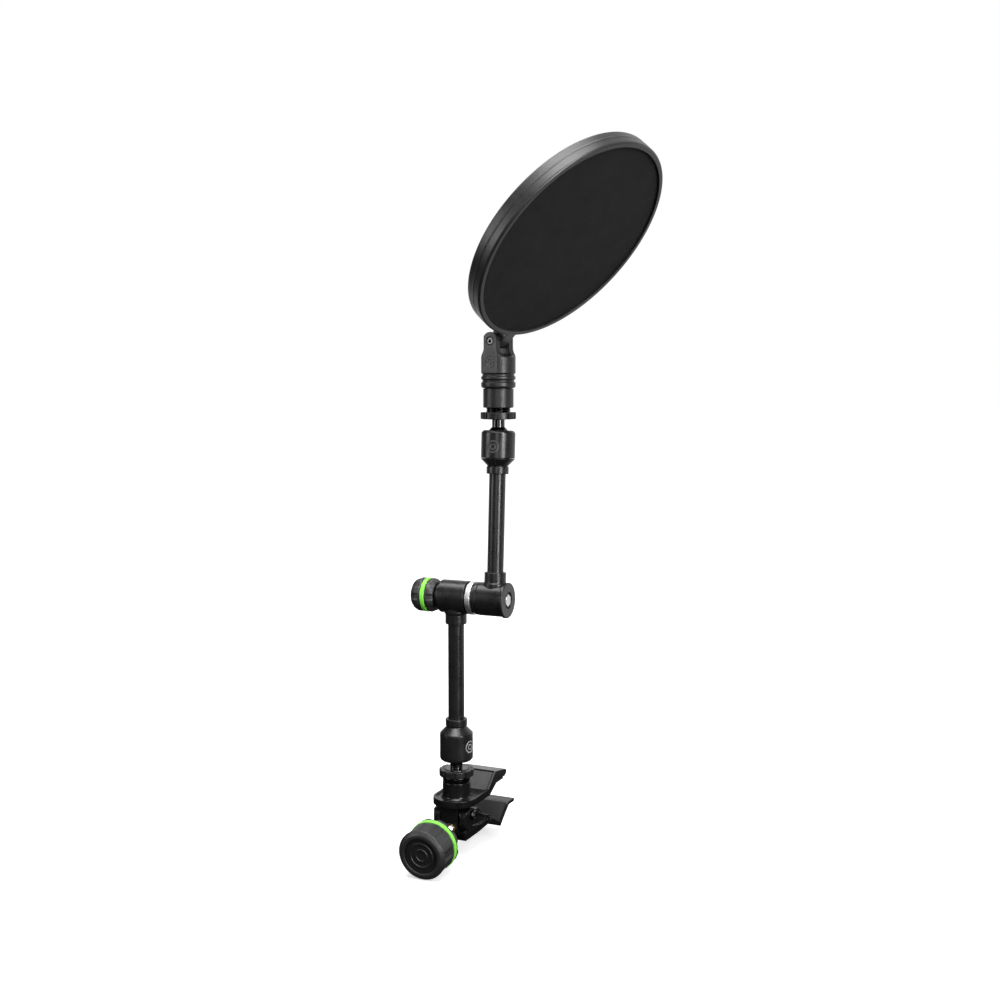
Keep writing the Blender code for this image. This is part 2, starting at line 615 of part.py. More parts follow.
def make_pivot(yoke):
    """Screw and nut through the yoke's ears; local Z runs along the pivot."""
    face = EAR_FLAT - 0.2
    hexagon = 1.25
    screw = [(0, face), (PIVOT_R - 0.3, face), (PIVOT_R, face - 0.3), (PIVOT_R, -EAR_FLAT + 2.0),
             (PIVOT_HEAD_R, -EAR_FLAT + 2.0), (PIVOT_HEAD_R, -face + 0.3),
             (PIVOT_HEAD_R - 0.3, -face), (hexagon, -face), (hexagon, -face + 1.4), (0, -face + 1.4)]
    part("pivot_screw", turned(screw, 12), STEEL, yoke, (0, 0, 0), ALONG_Y)
    nut = ring(PIVOT_R + RUN, PIVOT_HEAD_R, EAR_FLAT - 2.0, EAR_FLAT - 0.5, 12)
    part("pivot_nut", nut, STEEL, yoke, (0, 0, 0), ALONG_Y)


def make_frame_half(name, side, tilt):
    """Half of the filter's rim with half of its lug. side is 1 in front and -1 behind."""
    x = [side * value for value in (0.15, FRAME_HALF - 1.3, FRAME_HALF, FRAME_HALF - 1.0)]
    profile = [(SCREEN_R + 0.4, x[0]), (SCREEN_R + 0.4, x[1]), (FACE_R, x[1]),
               (FACE_R, x[2] - side * 0.3), (FACE_R + 0.4, x[2]), (FILTER_R - 0.9, x[2]),
               (FILTER_R, x[3]), (FILTER_R, x[0])]
    half = part(name, turned(profile, 72), PLASTIC, tilt, (0, 0, FILTER_RISE), ALONG_X)
    near = 0.15
    # The lug from the side: a round end at the pivot, widening to the rim.
    quarter = arc((0, 0), LUG_R, -88, 0, 6)
    lug = [(near, -LUG_R)] + quarter[1:]
    lug += [(LUG_R, 3.0), (FRAME_HALF - 0.6, 9.6), (FRAME_HALF - 1.0, 11.4), (near, 11.4)]
    lug = [(side * a, b) for a, b in lug]
    add(half, helper(name + "_lug", prism(lug, "Y", -LUG_WIDE, LUG_WIDE), tilt))
    cut(half, helper(name + "_bore", rod(PIVOT_R + RUN, -20, 20, 12), tilt, (0, 0, 0), ALONG_Y))


def make_filter(tilt):
    centre = (0, 0, FILTER_RISE)
    make_frame_half("front_frame", 1, tilt)
    make_frame_half("rear_frame", -1, tilt)
    part("front_screen", rod(SCREEN_R, SCREEN_X - 0.4, SCREEN_X + 0.3, 48), MESH_CLOTH, tilt, centre,
         ALONG_X)
    part("rear_screen", rod(SCREEN_R, -SCREEN_X - 0.3, -SCREEN_X + 0.4, 48), MESH_CLOTH, tilt, centre,
         ALONG_X)
    hoop = ring(SCREEN_R - 2.2, SCREEN_R, -SCREEN_X + 0.7, SCREEN_X - 0.7, 48)
    part("spacer_hoop", hoop, PLASTIC, tilt, centre, ALONG_X)


# ---------------------------------------------------------------- assembly


def build():
    clear_scene()
    clamp = frame("clamp_frame", None, -PAD_FACE)
    jaw = frame("jaw_hinge", clamp, PIN)
    below = Vector((0, math.sin(SCREW_TILT), -math.cos(SCREW_TILT))) * SCREW_BELOW_PIN
    screw = frame("screw_axis", clamp, PIN + below, (math.pi / 2 + SCREW_TILT, 0, 0))
    make_upper_jaw(clamp, screw)
    make_clamp_fittings(clamp, screw)
    make_lower_jaw(jaw, screw)
    make_clamp_screw(screw)

    lower_arm = frame("lower_arm_axis", clamp, (0, 0, LOWER_BALL_Z))
    lower_stud = frame("lower_stud_axis", clamp, (0, 0, LOWER_BALL_Z), (math.pi, 0, 0))
    lower_elbow = frame("lower_elbow_axis", lower_arm, (0, 0, ELBOW_REACH))
    upper_elbow = frame("upper_elbow_axis", lower_elbow, (TUBE_SPACING, 0, 0), (-UPPER_LEAN, 0, 0))
    upper_arm = frame("upper_arm_axis", upper_elbow, (0, 0, ELBOW_REACH), (math.pi, 0, 0))
    column = frame("column_axis", upper_elbow, (0, 0, ELBOW_REACH), (UPPER_LEAN, 0, 0))
    knob = frame("elbow_knob_axis", lower_elbow, (0, 0, 0), ALONG_MINUS_X)

    make_ball_joint("lower", lower_arm, lower_stud, 9.1, LOWER_BALL_Z - BOSS_TOP - GAP, 26.0)
    make_ball_joint("upper", upper_arm, column, 10.7, 26.8, None)
    make_lock_nut("lower", lower_stud, 9.4, 13.8)
    make_lock_nut("upper", column, 10.8, 15.2)

    make_elbow_housing("lower", lower_elbow, ALONG_X, (math.pi, 0, 0), False)
    make_elbow_housing("upper", upper_elbow, ALONG_MINUS_X, (0, 0, 0), True)
    make_elbow_core(lower_elbow, upper_elbow)
    make_elbow_knob(knob)

    yoke = frame("yoke_axis", column, (0, 0, PIVOT_Z), (0, 0, YOKE_TURN))
    tilt = frame("filter_pivot", yoke, (0, 0, 0), (0, FILTER_TILT, 0))
    make_yoke(column, yoke)
    make_pivot(yoke)
    make_filter(tilt)


build()
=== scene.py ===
"""Looks of the clamp-on pop filter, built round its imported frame.

Every piece is rebuilt as a fine mesh in the CAD model's own frames and takes the place of its CAD
node. Most keep the CAD dimensions; a few, such as the tubes, are under a millimetre fuller. Lengths
are millimetres until put() scales them.
"""

import json
import math

import bmesh
import bpy
from mathutils import Matrix, Vector

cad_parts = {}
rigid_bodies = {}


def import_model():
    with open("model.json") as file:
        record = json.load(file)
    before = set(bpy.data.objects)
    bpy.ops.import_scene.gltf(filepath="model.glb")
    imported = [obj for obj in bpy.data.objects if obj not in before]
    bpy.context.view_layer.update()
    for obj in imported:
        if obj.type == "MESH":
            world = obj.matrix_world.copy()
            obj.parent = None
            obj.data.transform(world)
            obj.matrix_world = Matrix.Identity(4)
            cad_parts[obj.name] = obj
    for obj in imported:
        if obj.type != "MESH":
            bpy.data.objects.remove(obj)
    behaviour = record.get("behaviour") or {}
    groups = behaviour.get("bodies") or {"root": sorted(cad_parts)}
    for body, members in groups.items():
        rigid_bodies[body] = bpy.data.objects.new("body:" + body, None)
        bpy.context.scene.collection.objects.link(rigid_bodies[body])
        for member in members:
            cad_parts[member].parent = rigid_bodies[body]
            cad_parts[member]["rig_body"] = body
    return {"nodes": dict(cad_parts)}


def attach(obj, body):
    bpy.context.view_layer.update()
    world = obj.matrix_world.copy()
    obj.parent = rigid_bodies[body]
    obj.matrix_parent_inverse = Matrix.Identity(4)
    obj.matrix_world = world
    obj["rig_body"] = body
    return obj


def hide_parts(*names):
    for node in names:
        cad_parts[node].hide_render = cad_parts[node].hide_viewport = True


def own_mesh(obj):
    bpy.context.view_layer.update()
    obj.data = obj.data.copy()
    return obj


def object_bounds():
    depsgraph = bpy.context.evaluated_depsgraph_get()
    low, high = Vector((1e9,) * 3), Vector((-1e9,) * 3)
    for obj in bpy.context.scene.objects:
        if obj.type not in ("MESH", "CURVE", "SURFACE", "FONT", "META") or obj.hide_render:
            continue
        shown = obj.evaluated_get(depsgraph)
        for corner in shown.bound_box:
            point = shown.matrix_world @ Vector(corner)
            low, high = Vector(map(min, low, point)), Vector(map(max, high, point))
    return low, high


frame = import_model()
CAD_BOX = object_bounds()

MM = 0.001
TAU = math.tau
GAP = 0.3
BODY = {node: item["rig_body"] for node, item in frame["nodes"].items()}

# ---------------------------------------------------------------- the CAD model's frames


def shift(x=0.0, y=0.0, z=0.0):
    return Matrix.Translation((x, y, z))


def turn(angle, axis):
    return Matrix.Rotation(angle, 4, axis)


PAD_FACE = Vector((0, 38.5, 1.2))
PIN = Vector((0, -2.0, -10.5))
SCREW_TILT = math.radians(5.6)
SCREW_BELOW = Vector((0, math.sin(SCREW_TILT), -math.cos(SCREW_TILT))) * 8.2
ELBOW_REACH = 106.5
TUBE_SPACING = 28.0
LEAN = math.radians(3.16)
STUD_RISE = 28.7
YOKE_RISE = 60.7
FILTER_RISE = 81.9
YOKE_TURN = math.radians(-12.7)
FILTER_TILT = math.radians(40.2)
VIEW_AZIMUTH = 24.13

ALONG_X = turn(math.pi / 2, "Y")
ALONG_MINUS_X = turn(-math.pi / 2, "Y")
ALONG_Y = turn(-math.pi / 2, "X")
FLIP = turn(math.pi, "X")

CLAMP = Matrix.Translation(-PAD_FACE)
PIN_AXIS = CLAMP @ Matrix.Translation(PIN) @ ALONG_X
SCREW = CLAMP @ Matrix.Translation(PIN + SCREW_BELOW) @ turn(math.pi / 2 + SCREW_TILT, "X")
LOWER_ARM = CLAMP @ shift(z=STUD_RISE)
LOWER_STUD = LOWER_ARM @ FLIP
LOWER_ELBOW = LOWER_ARM @ shift(z=ELBOW_REACH)
UPPER_ELBOW = LOWER_ELBOW @ shift(x=TUBE_SPACING) @ turn(-LEAN, "X")
UPPER_ARM = UPPER_ELBOW @ shift(z=ELBOW_REACH) @ FLIP
COLUMN = UPPER_ELBOW @ shift(z=ELBOW_REACH) @ turn(LEAN, "X")
ELBOW_KNOB = LOWER_ELBOW @ ALONG_MINUS_X
YOKE = COLUMN @ shift(z=YOKE_RISE) @ turn(YOKE_TURN, "Z")
TILT = YOKE @ turn(FILTER_TILT, "Y")
FILTER = TILT @ shift(z=FILTER_RISE) @ ALONG_X

# ---------------------------------------------------------------- material nodes


class Look:
    """A Principled material and the nodes that its colour, roughness and bump are made from."""

    def __init__(self, name, colour, roughness, metallic=0.0, own=True):
        self.material = bpy.data.materials.new(name)
        self.material.use_nodes = True
        self.tree = self.material.node_tree
        self.shader = self.tree.nodes["Principled BSDF"]
        self.colour = colour
        self.roughness = roughness
        self.shader.inputs["Base Color"].default_value = (*colour, 1)
        self.shader.inputs["Roughness"].default_value = roughness
        self.shader.inputs["Metallic"].default_value = metallic
        if own:
            place = self.node("ShaderNodeAttribute")
            place.attribute_name = "own"
            self.place = place.outputs["Vector"]
        else:
            self.place = self.node("ShaderNodeTexCoord").outputs["Object"]
        self.bumped = None

    def node(self, kind, **inputs):
        made = self.tree.nodes.new(kind)
        for key, value in inputs.items():
            socket = made.inputs[key.replace("_", " ")]
            if hasattr(value, "links"):
                self.tree.links.new(value, socket)
            else:
                socket.default_value = value
        return made

    def scaled(self, x, y, z, turn_z=0.0):
        mapping = self.node("ShaderNodeMapping", Vector=self.place)
        mapping.inputs["Scale"].default_value = (x, y, z)
        mapping.inputs["Rotation"].default_value = (0, 0, turn_z)
        return mapping.outputs["Vector"]

    def noise(self, scale=1.0, detail=2.0, roughness=0.5, vector=None):
        made = self.node("ShaderNodeTexNoise", Scale=scale, Detail=detail, Roughness=roughness)
        self.tree.links.new(vector or self.place, made.inputs["Vector"])
        return made.outputs["Fac"]

    def spread(self, value, low, high, from_low=0.3, from_high=0.7):
        made = self.node("ShaderNodeMapRange", From_Min=from_low, From_Max=from_high, To_Min=low, To_Max=high)
        self.tree.links.new(value, made.inputs["Value"])
        return made.outputs["Result"]

    def tint(self, value, amount, from_low=0.3, from_high=0.7):
        """Lightens and darkens the colour by a share, following value."""
        ramp = self.node("ShaderNodeValToRGB")
        self.tree.links.new(self.spread(value, 0, 1, from_low, from_high), ramp.inputs["Fac"])
        for element, share in zip(ramp.color_ramp.elements, (1 - amount, 1 + amount)):
            element.color = (*(min(1.0, c * share) for c in self.colour), 1)
        self.tree.links.new(ramp.outputs["Color"], self.shader.inputs["Base Color"])

    def rough(self, value, spread, from_low=0.3, from_high=0.7):
        ends = (self.roughness - spread, self.roughness + spread)
        self.tree.links.new(self.spread(value, *ends, from_low, from_high), self.shader.inputs["Roughness"])

    def bump(self, value, depth, strength=1.0):
        """Adds a height, depth in metres, on top of any bump already there."""
        made = self.node("ShaderNodeBump", Strength=strength, Distance=depth, Height=value)
        if self.bumped:
            self.tree.links.new(self.bumped, made.inputs["Normal"])
        self.bumped = made.outputs["Normal"]
        self.tree.links.new(self.bumped, self.shader.inputs["Normal"])

    def set(self, **values):
        for key, value in values.items():
            self.shader.inputs[key.replace("_", " ")].default_value = value
        return self


def anodised(name, colour=(0.0085, 0.0085, 0.009), roughness=0.30, metallic=0.0, lines=1.0):
    """Satin metal turned on a lathe: fine rings round local Z under a bead-blasted grain."""
    look = Look(name, colour, roughness, metallic)
    rings = look.noise(1.0, 2.0, 0.6, look.scaled(60, 60, 9000))
    grain = look.noise(9000, 2.0, 0.6)
    wear = look.noise(140, 3.0, 0.55)
    look.tint(wear, 0.18)
    look.rough(wear, 0.05)
    look.bump(rings, 0.000012 * lines, 0.5)
    look.bump(grain, 0.000008, 0.5)
    return look


def cast_paint(name):
    look = Look(name, (0.0055, 0.0055, 0.006), 0.24).set(Specular_IOR_Level=0.36)
    peel = look.noise(900, 2.0, 0.5)
    wear = look.noise(110, 4.0, 0.6)
    look.tint(wear, 0.2)
    look.rough(wear, 0.04)
    look.bump(peel, 0.00004, 0.35)
    look.bump(look.noise(4200, 1.0), 0.000012, 0.4)
    return look


def moulded(name, colour, roughness, grain=0.00002, pitch=4200):
    """Spark-eroded plastic or rubber: an even fine grain and faint flow marks."""
    look = Look(name, colour, roughness)
    fine = look.noise(pitch, 3.0, 0.6)
    flow = look.noise(70, 3.0, 0.5)
    look.tint(flow, 0.10)
    look.rough(flow, 0.05)
    look.bump(fine, grain, 0.6)
    return look


def bright_steel(name, colour=(0.62, 0.62, 0.64), roughness=0.27):
    look = Look(name, colour, roughness, 1.0)
    rings = look.noise(1.0, 2.0, 0.6, look.scaled(80, 80, 7000))
    smear = look.noise(260, 3.0, 0.55)
    look.tint(smear, 0.10)
    look.rough(smear, 0.07)
    look.bump(rings, 0.00001, 0.5)
    return look


def brass(name):
    look = Look(name, (0.66, 0.47, 0.20), 0.33, 1.0)
    rings = look.noise(1.0, 2.0, 0.6, look.scaled(80, 80, 6000))
    stain = look.noise(200, 4.0, 0.6)
    look.tint(stain, 0.16)
    look.rough(stain, 0.08)
    look.bump(rings, 0.00001, 0.5)
    return look


def bright_green(name):
    look = Look(name, (0.21, 0.72, 0.07), 0.38)
    cloud = look.noise(120, 2.0)
    look.tint(cloud, 0.06)
    look.rough(cloud, 0.04)
    look.bump(look.noise(3000, 2.0), 0.00001, 0.4)
    return look.set(Subsurface_Weight=0.15, Subsurface_Radius=(0.001, 0.002, 0.0006))


def woven(name, pitch=0.00062):
    """Fine open weave in the plane of local X and Y: two sets of round threads, over and under."""
    look = Look(name, (0.0125, 0.0125, 0.013), 0.9)
    waves = []
    for direction in ("X", "Y"):
        wave = look.node("ShaderNodeTexWave", Scale=1.0 / pitch / 3.18, Distortion=0.0)
        wave.wave_type = "BANDS"
        wave.bands_direction = direction
        wave.wave_profile = "SIN"
        look.tree.links.new(look.scaled(1, 1, 1, math.radians(45)), wave.inputs["Vector"])
        waves.append(wave.outputs["Fac"])
    over = look.node("ShaderNodeMath")
    over.operation = "MAXIMUM"
    for i, wave in enumerate(waves):
        look.tree.links.new(wave, over.inputs[i])
    cloud = look.noise(95, 5.0, 0.62)
    slub = look.noise(420, 2.0, 0.6)
    both = look.node("ShaderNodeMath")
    both.operation = "MULTIPLY"
    look.tree.links.new(look.spread(over.outputs[0], 0.78, 1.0, 0.2, 1.0), both.inputs[0])
    look.tree.links.new(look.spread(cloud, 0.72, 1.0), both.inputs[1])
    specks = look.node("ShaderNodeMath")
    specks.operation = "ADD"
    look.tree.links.new(both.outputs[0], specks.inputs[0])
    look.tree.links.new(look.spread(look.noise(480, 2.0, 0.6), 0.0, 1.0, 0.64, 0.74), specks.inputs[1])
    look.tint(specks.outputs[0], 0.85, 0.3, 1.5)
    look.bump(over.outputs[0], 0.00014, 0.7)
    look.bump(slub, 0.00005, 0.3)
    return look.set(Sheen_Weight=0.03, Sheen_Roughness=0.5, Specular_IOR_Level=0.1)


LOOKS = {
    "anodised": anodised("satin_black_metal"),
    "gunmetal": anodised("polished_black_steel", (0.075, 0.075, 0.08), 0.2, 1.0, 0.5),
    "cast": cast_paint("black_powder_coat"),
    "steel": bright_steel("bright_steel"),
    "washer": bright_steel("polished_washer", (0.86, 0.86, 0.87), 0.42),
    "brass": brass("turned_brass"),
    "grip": moulded("grip_rubber", (0.024, 0.024, 0.025), 0.46, 0.00003),
    "pad": moulded("pad_rubber", (0.014, 0.014, 0.015), 0.75, 0.00004, 2600),
    "plastic": moulded("black_nylon", (0.010, 0.010, 0.0105), 0.36),
    "bezel": moulded("bezel_rubber", (0.020, 0.020, 0.0205), 0.38, 0.00002),
    "satin": anodised("satin_cast_metal", (0.012, 0.012, 0.0125), 0.40),
    "frame": moulded("frame_plastic", (0.017, 0.017, 0.018), 0.38, 0.00002),
    "green": bright_green("bright_green_plastic"),
    "cloth": woven("filter_weave"),
    "mark": moulded("pale_ring_paint", (0.33, 0.33, 0.34), 0.6, 0.00001),
    # A dim grey for the upper housing's rings; on the yoke the same grey is a painted highlight for the lit
    # edges of the raised mark.
    "dim_mark_and_painted_highlight": moulded("dim_ring_paint_and_highlight", (0.085, 0.085, 0.088), 0.6, 0.00001),
}

# ---------------------------------------------------------------- mesh tools


def rounded(points, default=0.25, steps=4):
    """Rounds the corners of an outline. Each point is (r, h) or (r, h, size); a size of 0 keeps the
    corner sharp. Points on the axis, and the ends of a line that starts there, stay as they are."""
    flat = [(p[0], p[1]) for p in points]
    sizes = [p[2] if len(p) > 2 else default for p in points]
    closed = flat[0][0] > 0
    made = []
    count = len(flat)
    for i, point in enumerate(flat):
        here = Vector(point)
        on_end = not closed and i in (0, count - 1)
        if on_end or sizes[i] <= 0 or point[0] == 0:
            made.append(tuple(here))
            continue
        back = Vector(flat[i - 1]) - here
        ahead = Vector(flat[(i + 1) % count]) - here
        size = min(sizes[i], back.length * 0.45, ahead.length * 0.45)
        if size < 0.004 or back.normalized().dot(ahead.normalized()) < -0.998:
            made.append(tuple(here))
            continue
        start = here + back.normalized() * size
        end = here + ahead.normalized() * size
        for k in range(steps + 1):
            t = k / steps
            made.append(tuple(start * (1 - t) ** 2 + here * (2 * t * (1 - t)) + end * t**2))
    return made


def arc(centre, radius, start, end, steps):
    points = []
    for i in range(steps + 1):
        angle = math.radians(start + (end - start) * i / steps)
        points.append((centre[0] + radius * math.cos(angle), centre[1] + radius * math.sin(angle)))
    return points


def lathe(profile, steps=128):
    """Turns an outline round local Z into a closed mesh, with its faces pointing out."""
    shape = bmesh.new()
    rows = []
    for r, h in profile:
        if r <= 1e-9:
            rows.append([shape.verts.new((0, 0, h))])
        else:
            rows.append([shape.verts.new((r * math.cos(TAU * i / steps), r * math.sin(TAU * i / steps), h))
                         for i in range(steps)])
    pairs = list(zip(rows, rows[1:]))
    if profile[0][0] > 1e-9:
        pairs.append((rows[-1], rows[0]))
    for near, far in pairs:
        for i in range(steps):
            j = (i + 1) % steps
            if len(near) == 1 and len(far) == 1:
                break
            if len(near) == 1:
                shape.faces.new((near[0], far[j], far[i]))
            elif len(far) == 1:
                shape.faces.new((near[i], near[j], far[0]))
            else:
                shape.faces.new((near[i], near[j], far[j], far[i]))
    bmesh.ops.recalc_face_normals(shape, faces=shape.faces)
    return shape


def ring(inner, outer, low, high, edge=0.25):
    return rounded([(inner, high), (outer, high), (outer, low), (inner, low)], edge)


def threaded(r, low, high, pitch):
    """Profile rows for a thread, from high down to low. thread() then cuts its helix."""
    count = max(2, int((high - low) / pitch * 7))
    return [(r, high - (high - low) * i / count, 0) for i in range(count + 1)]


def thread(shape, r, low, high, pitch, depth):
    """Cuts a helical vee into the cylinder of radius r between low and high."""
    for vert in shape.verts:
        radius = math.hypot(vert.co.x, vert.co.y)
        if abs(radius - r) > 0.02 or not low - 0.001 <= vert.co.z <= high + 0.001:
            continue
        phase = (vert.co.z / pitch - math.atan2(vert.co.y, vert.co.x) / TAU) % 1.0
        groove = depth * (1 - abs(2 * phase - 1))
        fade = min(1.0, (vert.co.z - low) / pitch, (high - vert.co.z) / pitch)
        factor = (radius - groove * max(0.0, fade)) / radius
        vert.co.x *= factor
        vert.co.y *= factor
    return shape


def flute(shape, count, depth, beyond, start=0.0, rise=1.0, plain=None):
    """Presses count finger recesses into everything further out than the radius beyond. A higher
    start makes them narrower, and a higher rise gives them flatter floors and steeper sides. They
    fade out towards the height plain, over 2.4 mm."""
    for vert in shape.verts:
        radius = math.hypot(vert.co.x, vert.co.y)
        if radius <= beyond:
            continue
        wave = math.cos(count * math.atan2(vert.co.y, vert.co.x))
        press = depth * min(1.0, max(0.0, (wave - start) * rise))
        if plain is not None:
            press *= min(1.0, abs(vert.co.z - plain) / 2.4) ** 1.5
        vert.co.x *= (radius - press) / radius
        vert.co.y *= (radius - press) / radius
    return shape


def prism(outline, axis, low, high):
    """Extrudes an outline along an axis. The outline is (y, z), (x, z) or (x, y)."""
    lifts = {
        "X": lambda a, b, c: (c, a, b),
        "Y": lambda a, b, c: (a, c, b),
        "Z": lambda a, b, c: (a, b, c),
    }
    lift = lifts[axis]
    shape = bmesh.new()
    ends = [[shape.verts.new(lift(a, b, level)) for a, b in outline] for level in (low, high)]
    shape.faces.new(ends[0])
    shape.faces.new(ends[1])
    for i in range(len(outline)):
        j = (i + 1) % len(outline)
        shape.faces.new((ends[0][i], ends[0][j], ends[1][j], ends[1][i]))
    bmesh.ops.recalc_face_normals(shape, faces=shape.faces)
    return shape


def bevelled(shape, width, segments=3, angle=25):
    edges = [e for e in shape.edges if e.calc_face_angle(0) > math.radians(angle)]
    bmesh.ops.bevel(shape, geom=edges, offset=width, segments=segments, profile=0.5, affect="EDGES")
    return shape


def mesh_of(name, shape, look, matrix=None):
    """A loose mesh object in millimetres, placed by matrix."""
    if matrix is not None:
        shape.transform(matrix)
    mesh = bpy.data.meshes.new(name)
    shape.to_mesh(mesh)
    shape.free()
    mesh.materials.append(LOOKS[look].material)
    item = bpy.data.objects.new(name, mesh)
    bpy.context.scene.collection.objects.link(item)
    return item


def settle(item):
    """Applies an object's modifiers and returns the object with only the result."""
    bpy.context.view_layer.update()
    evaluated = item.evaluated_get(bpy.context.evaluated_depsgraph_get())
    mesh = bpy.data.meshes.new_from_object(evaluated)
    item.modifiers.clear()
    item.data = mesh
    return item


def boolean(item, operation, *tools):
    """Applies a Boolean with each tool in turn and removes the tools."""
    for tool in tools:
        modifier = item.modifiers.new(tool.name, "BOOLEAN")
        modifier.operation = operation
        modifier.solver = "EXACT"
        modifier.material_mode = "TRANSFER"
        modifier.object = tool
    settle(item)
    for tool in tools:
        bpy.data.objects.remove(tool)
    return item


def remeshed(item, voxel, smooth=6, factor=0.5):
    """Rebuilds a mesh on an even grid and rounds its edges by smoothing."""
    grid = item.modifiers.new("grid", "REMESH")
    grid.mode = "VOXEL"
    grid.voxel_size = voxel
    soft = item.modifiers.new("soft", "SMOOTH")
    soft.factor = factor
    soft.iterations = smooth
    return settle(item)


def put(item, matrix, node, crease=35, weighted=True):
    """Scales a piece to metres, places its mesh, and lets it stand for its CAD node.

    The attribute "own" keeps each point's place in the piece's own frame, for its material."""
    item.data.transform(Matrix.Scale(MM, 4))
    own = item.data.attributes.new("own", "FLOAT_VECTOR", "POINT")
    for vert, record in zip(item.data.vertices, own.data):
        record.vector = vert.co
    place = matrix.copy()
    place.translation = matrix.translation * MM
    item.data.transform(place)
    item.data.shade_smooth()
    if crease:
        item.data.set_sharp_from_angle(angle=math.radians(crease))
    if weighted:
        even = item.modifiers.new("even_normals", "WEIGHTED_NORMAL")
        even.keep_sharp = True
        even.weight = 60
    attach(item, BODY[node])
    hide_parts(node)
    return item


def turned_piece(node, look, matrix, profile, steps=128, edge=0.25):
    return put(mesh_of(node + "_fine", lathe(rounded(profile, edge), steps), look), matrix, node)


# ---------------------------------------------------------------- arm


def facing(matrix, across):
    """Angle round local Z of the direction that many degrees to the right of the front view."""
    angle = math.radians(VIEW_AZIMUTH + across)
    world = Vector((math.sin(angle), -math.cos(angle), 0))
    local = matrix.to_3x3().inverted() @ world
    return math.atan2(local.y, local.x)


def ring_mark(item, matrix, radius, height, across, size, look):
    """Engraves two plain rings on a round housing, wrapped round it to an even depth."""
    angle = facing(matrix, across)
    for i, (near, far) in enumerate(((size - 0.85, size), (size * 0.3, size * 0.5))):
        shape = lathe([(near, 1.0), (far, 1.0), (far, -0.3), (near, -0.3)], 72)
        for vert in shape.verts:
            x, y, z = vert.co
            around = angle + x / radius
            vert.co = ((radius + z) * math.cos(around), (radius + z) * math.sin(around), height + y)
        boolean(item, "DIFFERENCE", mesh_of(f"mark_tool_{i}", shape, look))


def ball_joint(side, arm, stud, neck_end, hub_end, spigot_end, across, mark_look):
    ball_r, neck_r, hub_r = 7.0, 4.1, 7.9
    shoulder = math.degrees(math.acos(neck_r / ball_r))
    profile = [(0, -ball_r)] + [(r, h, 0) for r, h in arc((0, 0), ball_r, -90, shoulder, 40)[1:]]
    profile += [(neck_r, 7.2, 0.4), (neck_r, neck_end, 0.4), (hub_r, neck_end, 0.5)]
    low, high = neck_end + 0.9, hub_end - (3.4 if spigot_end else 0.4)
    profile += threaded(hub_r, low, high, 0.94)[::-1]
    if spigot_end:
        profile += [(hub_r, hub_end - 3.2, 0.1), (9.2, hub_end - 3.0, 0.4), (9.2, hub_end - 0.3, 0.2)]
    profile += [(hub_r, hub_end, 0.25)]
    if spigot_end:
        profile += [(4.7, hub_end), (4.7, spigot_end, 0.5)]
    profile += [(0, spigot_end or hub_end)]
    shape = thread(lathe(rounded(profile, 0.2), 128), hub_r, low, high, 0.94, 0.42)
    put(mesh_of(side + "_ball_stud_fine", shape, "gunmetal"), stud, side + "_ball_stud")

    seat = ball_r + GAP
    cup = [(0, 9.5), (6.6, 9.5), (7.5, 8.6), (7.5, 1.0)]
    cup += [(r, h, 0) for r, h in arc((0, 0), seat, 8, 86, 24)] + [(0, seat)]
    turned_piece(side + "_ball_cup", "brass", arm, cup, 72, 0.15)

    bore, radius, lip, top = 7.8, 11.0, -3.5, 14.5
    housing = [(bore, top), (radius, top, 0.35), (radius, lip + 1.4, 0.8), (radius - 1.5, lip, 0.5)]
    housing += [(6.5, lip, 0.35)]
    housing += [(r, h, 0) for r, h in arc((0, 0), seat, -26, -10, 10)] + [(bore, -0.6)]
    item = mesh_of(side + "_ball_housing_fine", lathe(rounded(housing, 0.2, 5), 160), "anodised")
    ring_mark(item, arm, radius, 6.9, across, 4.1, mark_look)
    put(item, arm, side + "_ball_housing")

    fitting = [(5.55, 24.7), (7.2, 24.7, 0.5), (7.2, 20.2, 0.5), (6.6, 19.55, 0.2), (11.0, 15.1, 0.7),
               (11.0, 14.8), (7.6, 14.8), (7.6, 11.0), (2.4, 11.0), (2.4, 17.0), (5.55, 17.0)]
    turned_piece(side + "_tube_fitting", "anodised", arm, fitting, 144, 0.2)
    tube = [(3.9, 94.9), (5.35, 94.9), (5.35, 17.3), (3.9, 17.3)]
    turned_piece(side + "_tube", "anodised", arm, tube, 128, 0.3)
    tip = ELBOW_REACH - 7.9
    rod = [(0, tip + 2.2)] + [(r, h, 0) for r, h in arc((0, tip), 2.2, 90, 0, 16)[1:]]
    rod += [(2.2, 9.8), (0, 9.8)]
    turned_piece(side + "_push_rod", "steel", arm, rod, 48, 0.3)


def lock_nut(side, stud, low, high):
    profile = [(8.1, high), (9.3, high, 0), (11.5, high, 0.45), (11.5, low, 0.45), (9.3, low, 0),
               (8.1, low)]
    shape = lathe(rounded(profile, 0.2, 5), 384)
    flute(shape, 10, 1.2, 9.35, 0.58, 5.0)
    put(mesh_of(side + "_lock_nut_fine", shape, "plastic"), stud, side + "_lock_nut")


